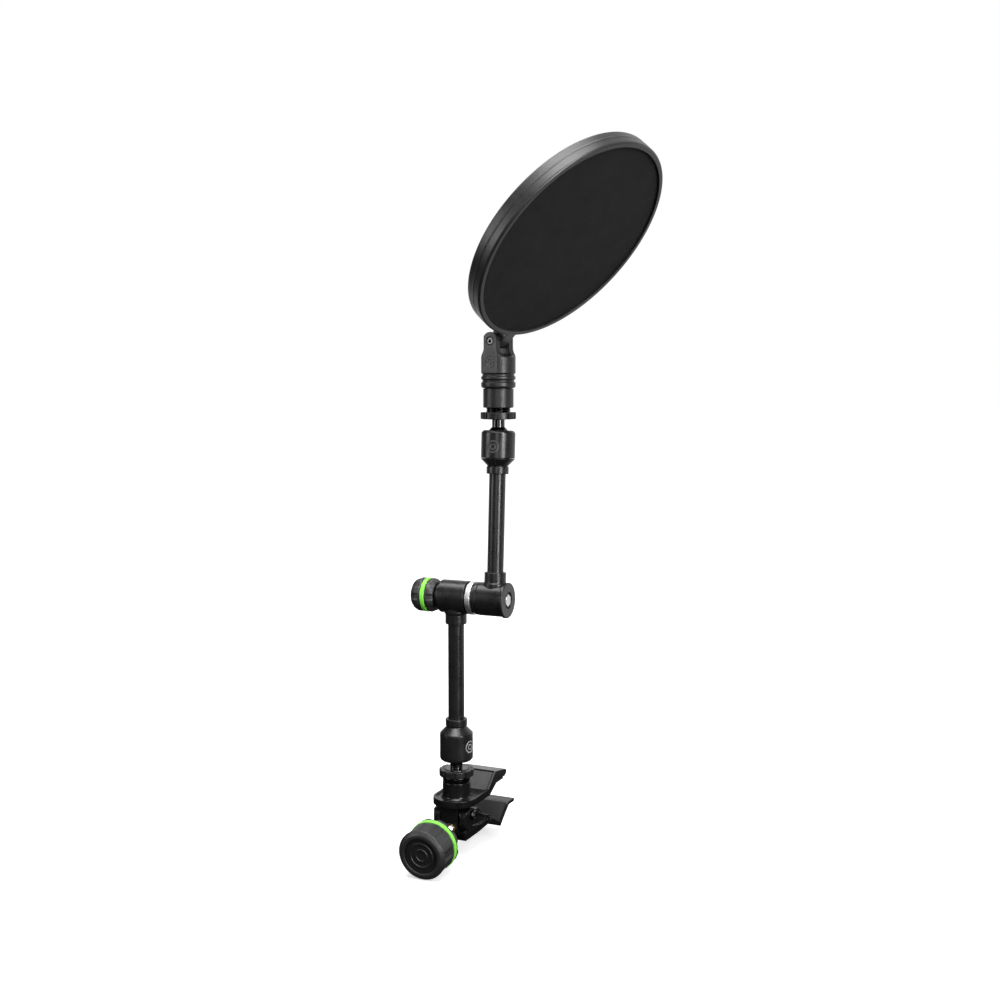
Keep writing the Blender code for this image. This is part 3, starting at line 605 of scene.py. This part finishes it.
def elbow_housing(side, elbow, opening, stub_turn, flange):
    end, radius, cavity = 9.8, 10.9, 7.4
    wall, hole, stub_r = end - 2.6, 4.7, 7.1
    barrel = [(0, end), (radius, end, 0.5)]
    if flange:
        rim = radius + 0.7
        barrel += [(radius, -end + 2.7, 0.1), (radius - 0.25, -end + 2.5, 0.1), (rim, -end + 2.1, 0.3),
                   (rim, -end, 0.7), (5.6, -end, 0.3), (5.6, -end + 0.8, 0.1), (0, -end + 0.8)]
    else:
        barrel += [(radius, -end, 0.9), (0, -end)]
    name = side + "_elbow_housing"
    item = mesh_of(name + "_fine", lathe(rounded(barrel, 0.3, 5), 144), "anodised", opening)
    foot = stub_r + 0.7
    stub = [(0, 17.9), (stub_r, 17.9, 0.5), (stub_r, 11.3, 0.5), (foot, 10.6, 0.5), (foot, 4.0), (0, 4.0)]
    boolean(item, "UNION", mesh_of("stub_tool", lathe(rounded(stub, 0.2), 96), "anodised", stub_turn))
    inside = [(0, end + 2), (cavity + 0.4, end + 2, 0), (cavity + 0.4, end + 0.01, 0),
              (cavity, end - 0.4, 0), (cavity, -wall), (hole, -wall), (hole, -end - 2, 0), (0, -end - 2)]
    socket = [(0, 20), (5.9, 20, 0), (5.9, 17.95, 0), (5.55, 17.5, 0), (5.55, 11.4), (2.4, 11.4),
              (2.4, 4.0), (0, 4.0)]
    cavity_tool = mesh_of("cavity_tool", lathe(rounded(inside, 0.15), 96), "anodised", opening)
    socket_tool = mesh_of("socket_tool", lathe(rounded(socket, 0.1), 64), "anodised", stub_turn)
    boolean(item, "DIFFERENCE", cavity_tool, socket_tool)
    # The piece's own frame is its barrel's, so that the lathe marks run round the barrel.
    item.data.transform(opening.inverted())
    put(item, elbow @ opening, name, 30)


def elbow_core():
    bore, sleeve = 3.1, 4.5
    cones = (("lower", LOWER_ELBOW @ ALONG_MINUS_X, 11.6), ("upper", UPPER_ELBOW @ ALONG_X, 8.0))
    for side, place, end in cones:
        cone = [(bore, end), (sleeve, end), (sleeve, 6.4), (6.9, 6.4), (6.9, 2.4), (3.7, -0.8),
                (bore, -0.8)]
        turned_piece(side + "_thrust_cone", "brass", place, cone, 72, 0.2)
    long = -TUBE_SPACING - 24.5
    low, high = long + 0.6, -44.0
    shank = [(0, 8.9), (2.9, 8.9, 0)] + threaded(2.9, low, high, 0.8)
    shank += [(2.9, long, 0.4), (0, long)]
    shape = thread(lathe(rounded(shank, 0.2), 64), 2.9, low, high, 0.8, 0.3)
    item = mesh_of("draw_bolt_fine", shape, "washer")
    corners = [(4.2 * math.cos(TAU * i / 6), 4.2 * math.sin(TAU * i / 6)) for i in range(6)]
    head = bevelled(prism(corners, "Z", 8.3, 9.7), 0.25, 3)
    boolean(item, "UNION", mesh_of("head_tool", head, "washer"))
    put(item, UPPER_ELBOW @ ALONG_X, "draw_bolt", 30)
    spring("elbow_spring", LOWER_ELBOW @ ALONG_X, 4.0, 0.45, 1.9, TUBE_SPACING - 1.9, 6)
    rings = (
        ("elbow_inner_ring", LOWER_ELBOW, 0, 10.1, 10.9, 10.3, "anodised"),
        ("elbow_friction_washer", LOWER_ELBOW, 0, 11.2, 14.5, 11.0, "washer"),
        ("elbow_wear_ring", UPPER_ELBOW, TUBE_SPACING, 14.8, 15.9, 10.0, "plastic"),
        ("elbow_outer_ring", UPPER_ELBOW, TUBE_SPACING, 16.2, 17.9, 10.7, "anodised"),
    )
    for name, holder, back, low, high, radius, look in rings:
        turned_piece(name, look, holder @ ALONG_X, ring(5.2, radius, low - back, high - back, 0.3), 144, 0)


def spring(node, matrix, radius, wire, low, high, turns, sides=12, per_turn=36):
    """A helical spring round local Z, its wire closed at both ends."""
    shape = bmesh.new()
    rows = []
    total = turns * per_turn
    tilts = [TAU * k / sides for k in range(sides)]
    for i in range(total + 1):
        angle = TAU * i / per_turn
        out = Vector((math.cos(angle), math.sin(angle), 0))
        centre = out * radius + Vector((0, 0, low + (high - low) * i / total))
        rows.append([shape.verts.new(centre + out * wire * math.cos(tilt)
                                     + Vector((0, 0, wire * math.sin(tilt)))) for tilt in tilts])
    for near, far in zip(rows, rows[1:]):
        for k in range(sides):
            n = (k + 1) % sides
            shape.faces.new((near[k], near[n], far[n], far[k]))
    shape.faces.new(rows[0])
    shape.faces.new(rows[-1])
    bmesh.ops.recalc_face_normals(shape, faces=shape.faces)
    return put(mesh_of(node + "_fine", shape, "steel"), matrix, node)


def grip(node, matrix, profile, radius, plain):
    """A knob's fluted sleeve, which is plainly round at the height plain, where it meets its ring."""
    shape = lathe(rounded(profile, 0.35, 5), 256)
    flute(shape, 8, radius * 0.065, radius * 0.8, -0.2, 1.2, plain)
    put(mesh_of(node + "_fine", shape, "grip"), matrix, node)


def elbow_knob():
    knob, hub_r, r = ELBOW_KNOB, 6.8, 11.2
    inner = hub_r + GAP
    turned_piece("elbow_knob_washer", "anodised", knob, ring(4.9, 8.6, 10.1, 11.6, 0.3), 96, 0)
    turned_piece("elbow_knob_insert", "brass", knob, ring(3.1, 4.6, 12.6, 21.0, 0.2), 64, 0)
    hub = [(0, 28.0), (hub_r, 28.0), (hub_r, 12.6), (8.8, 11.9), (4.8, 11.9), (4.8, 21.2), (3.1, 21.2),
           (3.1, 25.6), (0, 25.6)]
    turned_piece("elbow_knob_hub", "plastic", knob, hub, 96, 0.2)
    rear = [(inner, 18.3, 0.1), (r - 0.4, 18.3, 0.2), (r, 17.7, 0.5), (r, 15.6, 1.2), (9.4, 12.7, 0.8),
            (inner, 12.9, 0.1)]
    grip("elbow_knob_rear_grip", knob, rear, r, 18.3)
    turned_piece("elbow_knob_ring", "green", knob, ring(inner, r + 0.15, 18.6, 21.6, 0.7), 160, 0)
    front = [(0, 30.2), (6.0, 30.1, 1.0), (9.4, 29.0, 1.2), (r, 25.6, 1.4), (r, 24.2, 0), (r, 22.9, 0.5),
             (r - 0.5, 21.9, 0.2), (inner, 21.9, 0.1), (inner, 28.3, 0.1), (0, 28.3)]
    grip("elbow_knob_front_grip", knob, front, r, 21.9)


# ---------------------------------------------------------------- yoke and filter


def yoke():
    collar = [(8.1, 18.1), (9.8, 18.1, 0.6), (9.8, 30.3, 0.3), (8.8, 30.3, 0.1), (8.8, 38.3, 0.4), (7.0, 38.3),
              (7.0, 27.5), (8.1, 27.5)]
    turned_piece("yoke_thread_insert", "satin", COLUMN, collar, 144, 0.2)

    r, base, half, flat = 11.1, -30.1, 5.0, 9.2
    body = [(0, 8), (r, 8), (r, -20.5, 0.3), (r - 0.8, -20.9, 0.2), (r - 0.8, -22.1, 0.2), (r, -22.6, 0.5),
            (r, -24.4, 0.5), (r - 0.9, -24.8, 0.2), (r - 0.9, -25.9, 0.2), (r, -26.4, 0.5), (r, -29.2, 0.5),
            (9.9, base, 0.3), (9.1, base, 0.1), (9.1, base + 8.2), (0, base + 8.2)]
    item = mesh_of("yoke_fine", lathe(rounded(body, 0.2), 160), "satin")
    ears = [(-5.0, -4.8)] + arc((-11.3, -4.1), 6.3, 0, -78, 14)[1:]
    ears += [(-20, -10.3), (-20, -40), (20, -40), (20, -10.3)]
    ears += arc((11.3, -4.1), 6.3, 258, 180, 14) + arc((0, 0), 5.8, 31, 149, 24)
    boolean(item, "INTERSECT", mesh_of("ears_tool", prism(ears, "Y", -20, 20), "satin"))
    slot = [(-half, 12), (-half, -7.1)] + arc((-half + 2.5, -7.1), 2.5, 180, 270, 10)
    slot += arc((half - 2.5, -7.1), 2.5, 270, 360, 10) + [(half, 12)]
    tools = [mesh_of("slot_tool", prism(slot, "X", -20, 20), "satin")]
    for side in (-1, 1):
        near, far = sorted((side * flat, side * 20))
        face = prism([(-20, 12), (-20, -20.0), (20, -20.0), (20, 12)], "Y", near, far)
        tools.append(mesh_of(f"flat_tool_{side}", face, "satin"))
    sunk = flat - 2.2
    for name, radius, low, high in (("hole", 1.9, -20, 20), ("head", 2.7, -20, -sunk), ("nut", 2.7, sunk, 20)):
        shape = lathe([(0, high), (radius, high), (radius, low), (0, low)], 64)
        tools.append(mesh_of(name + "_tool", shape, "satin", ALONG_Y))
    boolean(item, "DIFFERENCE", *tools)
    remeshed(item, 0.17, 5, 0.5)
    # Two plain rings stand where the ear's flat is marked. Their grooves take a light grey paint, a painted
    # highlight standing in for the light caught by the raised mark's edges.
    on_ear = shift(y=-flat, z=-13.8) @ ALONG_Y @ FLIP
    for near, far in ((3.1, 4.0), (1.1, 2.2)):
        tool = lathe([(near, 2.0), (far, 2.0), (far, -0.35), (near, -0.35)], 72)
        boolean(item, "DIFFERENCE", mesh_of("mark_tool", tool, "dim_mark_and_painted_highlight", on_ear))
    put(item, YOKE, "yoke", 50, False)

    face = flat - 0.2
    screw = [(0, face), (1.7, face, 0.3), (1.7, -flat + 2.0, 0.1), (2.4, -flat + 2.0, 0.1), (2.4, -face, 0.35),
             (0, -face)]
    item = mesh_of("pivot_screw_fine", lathe(rounded(screw, 0.2), 64), "gunmetal")
    corners = [(1.3 * math.cos(TAU * i / 6), 1.3 * math.sin(TAU * i / 6)) for i in range(6)]
    boolean(item, "DIFFERENCE", mesh_of("hex_tool", prism(corners, "Z", -12, -face + 1.4), "gunmetal"))
    put(item, YOKE @ ALONG_Y, "pivot_screw", 30)
    nut = [(2.4 * math.cos(TAU * i / 6), 2.4 * math.sin(TAU * i / 6)) for i in range(6)]
    item = mesh_of("pivot_nut_fine", bevelled(prism(nut, "Z", flat - 2.0, flat - 0.5), 0.2, 3), "gunmetal")
    bore = lathe([(0, 12), (1.85, 12), (1.85, 5), (0, 5)], 48)
    boolean(item, "DIFFERENCE", mesh_of("bore_tool", bore, "gunmetal"))
    put(item, YOKE @ ALONG_Y, "pivot_nut", 30)


def frame_half(node, side):
    """Half of the rim with half of its lug; side is 1 in front and -1 behind."""
    screen_r, face_r, outer = 70.4, 69.2, 72.6
    profile = [(screen_r + 0.4, 0.05, 0.1), (screen_r + 0.4, 4.75, 0.1), (face_r, 4.75, 0.15),
               (face_r, 6.0, 0.25), (outer - 0.9, 6.0, 0.25), (outer, 5.1, 0.6), (outer, 0.7, 0.2),
               (outer + 0.1, 0.4, 0.15), (outer + 0.1, 0.1, 0.05), (outer, 0.05, 0)]
    profile = [(p[0], side * p[1], p[2]) for p in profile]
    item = mesh_of(node + "_fine", lathe(rounded(profile, 0.2, 5), 384), "frame")
    near = 0.05
    quarter = arc((0, 0), 4.5, -88, 0, 20)
    lug = [(near, -4.5)] + quarter[1:] + [(4.5, 3.0), (5.4, 9.6), (5.0, 11.4), (near, 11.4)]
    block = bevelled(prism([(side * a, b) for a, b in lug], "Y", -4.7, 4.7), 0.35, 3, 40)
    # The rim's own frame has Z across the filter, so the lug turns into it.
    into = (shift(z=FILTER_RISE) @ ALONG_X).inverted()
    boolean(item, "UNION", mesh_of("lug_tool", block, "frame", into))
    bore = lathe([(0, 20), (1.9, 20), (1.9, -20), (0, -20)], 48)
    boolean(item, "DIFFERENCE", mesh_of("bore_tool", bore, "frame", into @ ALONG_Y))
    put(item, FILTER, node, 35)


def screen(node, side):
    """A taut disc of cloth with a beaded edge."""
    middle = 4.05 * side
    r = 70.4
    profile = [(0, middle + 0.17), (r - 2.8, middle + 0.17, 0), (r - 1.2, middle + 0.17, 0.3),
               (r - 0.7, middle + 0.34, 0.2), (r, middle + 0.34, 0.2), (r, middle - 0.34, 0.2),
               (r - 0.7, middle - 0.34, 0.2), (r - 1.2, middle - 0.17, 0.3), (0, middle - 0.17)]
    item = turned_piece(node, "cloth", FILTER, profile, 256, 0.2)


def pop_filter():
    frame_half("front_frame", 1)
    frame_half("rear_frame", -1)
    screen("front_screen", 1)
    screen("rear_screen", -1)
    turned_piece("spacer_hoop", "frame", FILTER, ring(68.2, 70.4, -3.4, 3.4, 0.4), 256, 0)


# ---------------------------------------------------------------- clamp


def offset_line(points, distance):
    moved = []
    for i, point in enumerate(points):
        here = Vector(point)
        normals = []
        for other, sign in ((i - 1, -1), (i + 1, 1)):
            if 0 <= other < len(points):
                run = (Vector(points[other]) - here).normalized() * sign
                normals.append(Vector((-run.y, run.x)))
        mean = sum(normals, Vector((0, 0))).normalized()
        moved.append(tuple(here + mean * distance / mean.dot(normals[0])))
    return moved


def strip(points, near, far):
    return offset_line(points, near) + offset_line(points, far)[::-1]


UPPER_UNDER = [(20.5, -3.6), (33.5, 3.0), (46.0, 3.0)]
LOWER_OUTER = [(22.0, -21.5), (38.4, -30.5), (53.0, -19.6), (61.8, -19.6)]
TRAY_HALF, TRAY_FRONT, TRAY_CORNER = 14.8, -15.5, 13.4
EAR_INNER, EAR_OUTER, JAW_HALF = 6.4, 12.3, 15.0


def tray_plan(inset):
    half, front, r = TRAY_HALF - inset, TRAY_FRONT + inset, TRAY_CORNER - inset
    left = arc((-half + r, front + r), r, 180, 270, 24)
    right = arc((half - r, front + r), r, 270, 360, 24)
    return [(-half, 50.0)] + left + right + [(half, 50.0)]


def upper_jaw():
    front = TRAY_FRONT - 1
    side = [(front, 1.0), (19.7, 1.0), (31.2, 10.3), (46.6, 7.9), (48.6, 7.0), (49.2, 5.6), (48.4, 4.2)]
    side += UPPER_UNDER[::-1] + [(front, -3.6)]
    item = mesh_of("upper_jaw_fine", prism(side, "X", -20, 20), "cast")
    boolean(item, "INTERSECT", mesh_of("plan_tool", prism(tray_plan(0), "Z", -10, 20), "cast"))
    floor = [(-17.5, 0), (20.1, 0), (31.6, 9.4), (31.6, 20), (-17.5, 20)]
    pocket = mesh_of("pocket_tool", prism(floor, "X", -20, 20), "cast")
    boolean(pocket, "INTERSECT", mesh_of("inner_tool", prism(tray_plan(1.8), "Z", -10, 30), "cast"))
    boolean(item, "DIFFERENCE", pocket)
    lug = [(-11.5, -3.1)] + arc((-6.5, -19.0), 5.0, 180, 270, 16)
    lug += arc((-1.0, -19.0), 5.0, 270, 360, 16) + [(4.0, -3.1)]
    boss = [(0, 11.0), (9.3, 11.0, 0.6), (9.3, 1.2, 0.5), (10.3, 0.2, 0.5), (10.3, -0.6, 0), (0, -0.6)]
    boolean(item, "UNION", mesh_of("lug_tool", prism(lug, "X", -6.0, 6.0), "cast"),
            mesh_of("boss_tool", lathe(rounded(boss, 0.3), 96), "cast"))
    cuts = [mesh_of("boss_bore", lathe([(0, 13), (5.0, 13), (5.0, 2.4), (0, 2.4)], 64), "cast")]
    pin = lathe([(0, 20), (2.3, 20), (2.3, -20), (0, -20)], 48)
    cuts.append(mesh_of("pin_bore", pin, "cast", Matrix.Translation(PIN) @ ALONG_X))
    bush = lathe([(0, 20), (4.4, 20), (4.4, -20), (0, -20)], 48)
    cuts.append(mesh_of("bush_bore", bush, "cast", CLAMP.inverted() @ SCREW))
    boolean(item, "DIFFERENCE", *cuts)
    remeshed(item, 0.2, 9, 0.5)
    put(item, CLAMP, "upper_jaw", 0, False)
    under = [(21.5, -3.09), UPPER_UNDER[1], (45.0, UPPER_UNDER[1][1])]
    jaw_pad("upper_jaw_pad", strip(under, -GAP, -GAP - 1.5))


def jaw_pad(node, outline):
    shape = bevelled(prism(outline, "X", -14.0, 14.0), 0.25, 3)
    put(mesh_of(node + "_fine", shape, "pad"), CLAMP, node)


def clamp_fittings():
    turned_piece("screw_bush", "brass", SCREW, ring(3.1, 4.2, -3.6, 9.4, 0.2), 64, 0)
    pin = [(0, 14.6), (1.2, 14.6, 0.2), (1.5, 14.2, 0.2), (2.2, 14.5, 0.3), (3.3, 14.0, 0.5), (3.3, 12.7, 0.2),
           (2.1, 12.7, 0), (2.1, -13.4, 0.1), (1.6, -13.4, 0.1), (1.6, -14.2, 0.1), (2.1, -14.2, 0.1),
           (2.1, -14.8, 0.2), (0, -14.8)]
    turned_piece("hinge_pin", "gunmetal", PIN_AXIS, pin, 72, 0.2)
    turned_piece("hinge_clip", "steel", PIN_AXIS, ring(1.8, 3.6, -14.1, -13.5, 0.12), 72, 0)
    top = -4.3
    item = spring("jaw_spring", CLAMP @ shift(y=15.5), 2.6, 0.4, -11.9, top, 5)
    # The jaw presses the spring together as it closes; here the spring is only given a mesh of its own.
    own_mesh(item)


def jaw_side(sign):
    """One side of the lower jaw: an ear with a round nose, and a wing behind it with a raised border."""
    wall = arc((-3.5, -12.6), 8.3, 240, 135, 20) + arc((PIN.y, PIN.z), 4.8, 115, 55, 16)
    wall += [(10.7, -12.6), (19.0, -16.6), (27.0, -19.0), (27.0, -20.6), (19.0, -22.2), (10.0, -22.0)]
    low, high = sorted((sign * EAR_INNER, sign * EAR_OUTER))
    item = mesh_of(f"side_tool_{sign}", prism(wall, "X", low, high), "cast")
    middle, r = (low + high) / 2, (high - low) / 2
    plan = [(low, 40)] + arc((middle, -11.8 + r), r, 180, 360, 24) + [(high, 40)]
    boolean(item, "INTERSECT", mesh_of("nose_tool", prism(plan, "Z", -40, 0), "cast"))
    dish = [(3.4, -12.2), (10.3, -14.3), (18.6, -18.0), (24.8, -19.6), (24.8, -20.2), (18.6, -20.8),
            (10.0, -20.6), (-1.0, -18.2)]
    near, far = sorted((sign * (EAR_OUTER - 1.3), sign * 20))
    boolean(item, "DIFFERENCE", mesh_of("dish_tool", prism(dish, "X", near, far), "cast"))
    return item


def jaw_belly():
    """The rounded body under the screw, with a lip round its upper edge."""
    keel = [(-8.2, -14.0)] + arc((3.0, -19.0), 11.3, 180, 258, 16)
    keel += [(7.0, -31.3)] + arc((14.0, -22.0), 10.0, 262, 300, 10)
    keel += [(28.0, -28.6), (33.0, -28.2), (26.0, -22.6), (10.0, -20.0)]
    item = mesh_of("keel_tool", prism(keel, "X", -9.2, 9.2), "cast")
    section = [(-9.2, -10)] + arc((-1.6, -24.4), 7.6, 180, 270, 20)
    section += arc((1.6, -24.4), 7.6, 270, 360, 20) + [(9.2, -10)]
    return boolean(item, "INTERSECT", mesh_of("section_tool", prism(section, "Y", -20, 40), "cast"))


def lower_jaw():
    item = mesh_of("lower_jaw_fine", prism(strip(LOWER_OUTER, 0, 2.2), "X", -JAW_HALF, JAW_HALF), "cast")
    web = [(9.0, -27.0), (9.0, -12.6), (19.0, -12.6), (25.0, -17.5), (27.0, -21.0), (27.0, -27.0)]
    web_tool = mesh_of("web_tool", prism(web, "X", -EAR_INNER - 0.5, EAR_INNER + 0.5), "cast")
    lip = [(-8.4, -21.4), (-8.4, -22.8), (20.0, -25.0), (27.0, -24.0), (27.0, -22.6), (20.0, -23.6)]
    lip_tool = mesh_of("lip_tool", prism(lip, "X", -10.2, 10.2), "cast")
    boolean(item, "UNION", jaw_belly(), lip_tool, jaw_side(-1), jaw_side(1), web_tool)
    well = [(-13.0, -26.4), (-13.0, 0), (22.0, 0), (22.0, -12.0), (11.2, -12.0), (12.63, -26.4)]
    pin = lathe([(0, 20), (2.3, 20), (2.3, -20), (0, -20)], 48)
    boolean(item, "DIFFERENCE", mesh_of("well_tool", prism(well, "X", -EAR_INNER, EAR_INNER), "cast"),
            mesh_of("pin_bore", pin, "cast", Matrix.Translation(PIN) @ ALONG_X))
    remeshed(item, 0.2, 9, 0.5)
    put(item, CLAMP, "lower_jaw", 0, False)
    bottom = Vector(LOWER_OUTER[1])
    near_end = bottom.lerp(Vector(LOWER_OUTER[0]), 0.66)
    far_end = bottom.lerp(Vector(LOWER_OUTER[2]), 0.93)
    jaw_pad("lower_jaw_pad", strip([near_end, bottom, far_end], 2.5, 4.0))


def clamp_screw():
    centre = -(13.0 - 4.0 - GAP)
    dome = [(r, h, 0) for r, h in arc((0, centre), 4.0, 0, -90, 20)[:-1]]
    foot = [(0, -8.0), (2.3, -8.0), (2.3, -5.3), (4.0, -5.3, 0.3)] + dome + [(0, centre - 4.0)]
    turned_piece("screw_foot", "steel", SCREW, foot, 72, 0.15)
    low, high, pitch = -4.4, 15.5, 1.25
    shank = [(0, 44.0), (2.4, 44.0, 0.1), (2.9, 43.5, 0.1)] + threaded(2.9, low, high, pitch)
    shank += [(2.9, -4.8, 0.2), (2.0, -5.0, 0.1), (2.0, -7.6, 0.2), (0, -7.6)]
    shape = thread(lathe(rounded(shank, 0.2), 96), 2.9, low, high, pitch, 0.5)
    put(mesh_of("clamp_screw_fine", shape, "steel"), SCREW, "clamp_screw")

    r, hub_r = 16.6, 10.6
    inner = hub_r + GAP
    hub = [(0, 49.2), (hub_r, 49.2), (hub_r, 28.4), (7.4, 27.4, 1.0), (6.0, 17.0, 0.6), (3.1, 17.0),
           (3.1, 45.0), (0, 45.0)]
    turned_piece("clamp_knob_hub", "plastic", SCREW, hub, 128, 0.3)
    rear = [(inner, 32.3, 0.1), (r - 0.7, 32.3, 0.2), (r, 31.3, 0.5), (r, 30.0, 1.0), (r - 2.2, 27.9, 0.8),
            (inner, 27.9, 0.1)]
    grip("clamp_knob_rear_grip", SCREW, rear, r, 32.3)
    turned_piece("clamp_knob_ring", "green", SCREW, ring(inner, r + 0.2, 32.6, 35.4, 0.8), 192, 0)
    front = [(inner, 48.8, 0.1), (r - 0.5, 48.8, 0.4)]
    front += [(r - 0.5 + i / 12, 48.0 - 1.8 * i, 0) for i in range(6)]
    front += [(r, 36.9, 0.5), (r - 0.6, 35.7, 0.2), (inner, 35.7, 0.1)]
    grip("clamp_knob_front_grip", SCREW, front, r, 35.7)
    recess = 13.2
    rim = [(recess - 1.4, 52.2, 0.6), (r - 2.5, 52.2, 0.9), (r - 0.1, 50.0, 0.7), (r - 0.1, 49.1, 0.3),
           (inner, 49.1, 0.1), (inner, 49.5, 0.1), (recess, 49.5, 0.1), (recess, 51.2, 0.1),
           (recess - 1.4, 51.2, 0.1)]
    turned_piece("clamp_knob_bezel", "bezel", SCREW, rim, 192, 0.2)
    cap = [(0, 50.9), (3.2, 50.9, 0.2), (3.4, 51.3, 0.2), (4.4, 51.3, 0.2), (4.6, 50.9, 0.2), (7.2, 50.9, 0.2),
           (7.4, 51.3, 0.2), (8.4, 51.3, 0.2), (8.6, 50.9, 0.2), (recess - GAP, 50.9, 0.3),
           (recess - GAP, 49.8, 0.1), (0, 49.8)]
    turned_piece("clamp_knob_cap", "plastic", SCREW, cap, 192, 0.2)


# ---------------------------------------------------------------- studio


def look_at(item, target):
    direction = Vector(target) - item.location
    item.rotation_euler = direction.to_track_quat("-Z", "Y").to_euler()


def soft_box(name, azimuth, elevation, distance, target, size, watts):
    """An area light. azimuth 0 is in front of the clamp (-Y) and 90 is at +X."""
    light = bpy.data.lights.new(name, "AREA")
    light.shape = "RECTANGLE"
    light.size, light.size_y = size
    light.energy = watts
    item = bpy.data.objects.new(name, light)
    bpy.context.scene.collection.objects.link(item)
    a, e = math.radians(azimuth), math.radians(elevation)
    out = Vector((math.sin(a) * math.cos(e), -math.cos(a) * math.cos(e), math.sin(e)))
    item.location = Vector(target) + out * distance
    look_at(item, target)


def pale_floor(low):
    """A pale sheet of paper that glows more further out, so that it has no far edge. Towards the back
    it is lit for the object too, as the back of a white studio is."""
    reach = 9.0
    mesh = bpy.data.meshes.new("floor")
    mesh.from_pydata([(-reach, -reach, 0), (reach, -reach, 0), (reach, reach, 0), (-reach, reach, 0)], [],
                     [(0, 1, 2, 3)])
    floor = bpy.data.objects.new("floor", mesh)
    bpy.context.scene.collection.objects.link(floor)
    floor.location.z = low
    paper = Look("floor_paper", (0.74, 0.74, 0.74), 0.95, 0.0, False)
    paper.tint(paper.noise(3.0, 2.0), 0.01)
    paper.set(Specular_IOR_Level=0.0)
    link = paper.tree.links.new
    far = paper.node("ShaderNodeVectorMath")
    far.operation = "LENGTH"
    link(paper.place, far.inputs[0])
    apart = paper.node("ShaderNodeSeparateXYZ")
    link(paper.place, apart.inputs["Vector"])
    glow = paper.node("ShaderNodeEmission")
    link(paper.spread(far.outputs["Value"], 0.5, 1.0, 0.25, 1.0), glow.inputs["Strength"])
    front = paper.node("ShaderNodeAddShader")
    link(paper.shader.outputs["BSDF"], front.inputs[0])
    link(glow.outputs["Emission"], front.inputs[1])
    back_glow = paper.node("ShaderNodeEmission")
    link(paper.spread(apart.outputs["Y"], 0.02, 0.8, 0.1, 0.5), back_glow.inputs["Strength"])
    seen = paper.node("ShaderNodeLightPath")
    both = paper.node("ShaderNodeMixShader")
    link(seen.outputs["Is Camera Ray"], both.inputs["Fac"])
    link(back_glow.outputs["Emission"], both.inputs[1])
    link(front.outputs["Shader"], both.inputs[2])
    link(both.outputs["Shader"], paper.tree.nodes["Material Output"].inputs["Surface"])
    mesh.materials.append(paper.material)


def white_room(dim, back):
    """White as seen by the camera. For the object it is dim, and brighter at the back."""
    world = bpy.data.worlds.new("studio")
    bpy.context.scene.world = world
    world.use_nodes = True
    tree = world.node_tree
    background = tree.nodes["Background"]
    background.inputs["Color"].default_value = (1, 1, 1, 1)
    where = tree.nodes.new("ShaderNodeTexCoord")
    apart = tree.nodes.new("ShaderNodeSeparateXYZ")
    tree.links.new(where.outputs["Generated"], apart.inputs["Vector"])
    level = tree.nodes.new("ShaderNodeMapRange")
    for key, number in (("From Min", 0.45), ("From Max", 0.8), ("To Min", dim), ("To Max", back)):
        level.inputs[key].default_value = number
    tree.links.new(apart.outputs["Y"], level.inputs["Value"])
    seen = tree.nodes.new("ShaderNodeLightPath")
    choose = tree.nodes.new("ShaderNodeMath")
    choose.operation = "MAXIMUM"
    tree.links.new(seen.outputs["Is Camera Ray"], choose.inputs[0])
    tree.links.new(level.outputs["Result"], choose.inputs[1])
    tree.links.new(choose.outputs["Value"], background.inputs["Strength"])


def studio():
    scene = bpy.context.scene
    scene.view_settings.view_transform = "Standard"
    white_room(0.03, 0.9)
    middle = (0.02, -0.03, 0.17)
    soft_box("key", 60, 18, 1.3, middle, (0.28, 1.2), 20)
    soft_box("fill", -49, 8, 1.2, (0.02, -0.03, 0.30), (0.45, 0.6), 4)
    soft_box("front", 16, 12, 1.8, (0.02, -0.03, 0.22), (0.5, 0.9), 4.5)
    soft_box("high", 32, 60, 1.2, middle, (0.7, 0.5), 8)
    soft_box("top", -60, 82, 1.2, middle, (1.2, 0.9), 20)
    pale_floor(CAD_BOX[0].z - 0.0004)

    camera = bpy.data.cameras.new("camera")
    camera.lens = 48.6
    camera.sensor_width = 36
    camera.clip_end = 40
    item = bpy.data.objects.new("camera", camera)
    scene.collection.objects.link(item)
    item.location = (0.3858, -0.8288, 0.2852)
    item.rotation_euler = (math.radians(84.33), 0, math.radians(VIEW_AZIMUTH))
    scene.camera = item


# ---------------------------------------------------------------- assembly


def main():
    ball_joint("lower", LOWER_ARM, LOWER_STUD, 9.1, 17.4, 26.0, 57, "mark")
    ball_joint("upper", UPPER_ARM, COLUMN, 10.7, 26.8, None, -18, "dim_mark_and_painted_highlight")
    lock_nut("lower", LOWER_STUD, 9.4, 13.8)
    lock_nut("upper", COLUMN, 10.8, 15.2)
    elbow_housing("lower", LOWER_ELBOW, ALONG_X, FLIP, False)
    elbow_housing("upper", UPPER_ELBOW, ALONG_MINUS_X, Matrix.Identity(4), True)
    elbow_core()
    elbow_knob()
    yoke()
    pop_filter()
    upper_jaw()
    clamp_fittings()
    lower_jaw()
    clamp_screw()
    studio()


main()
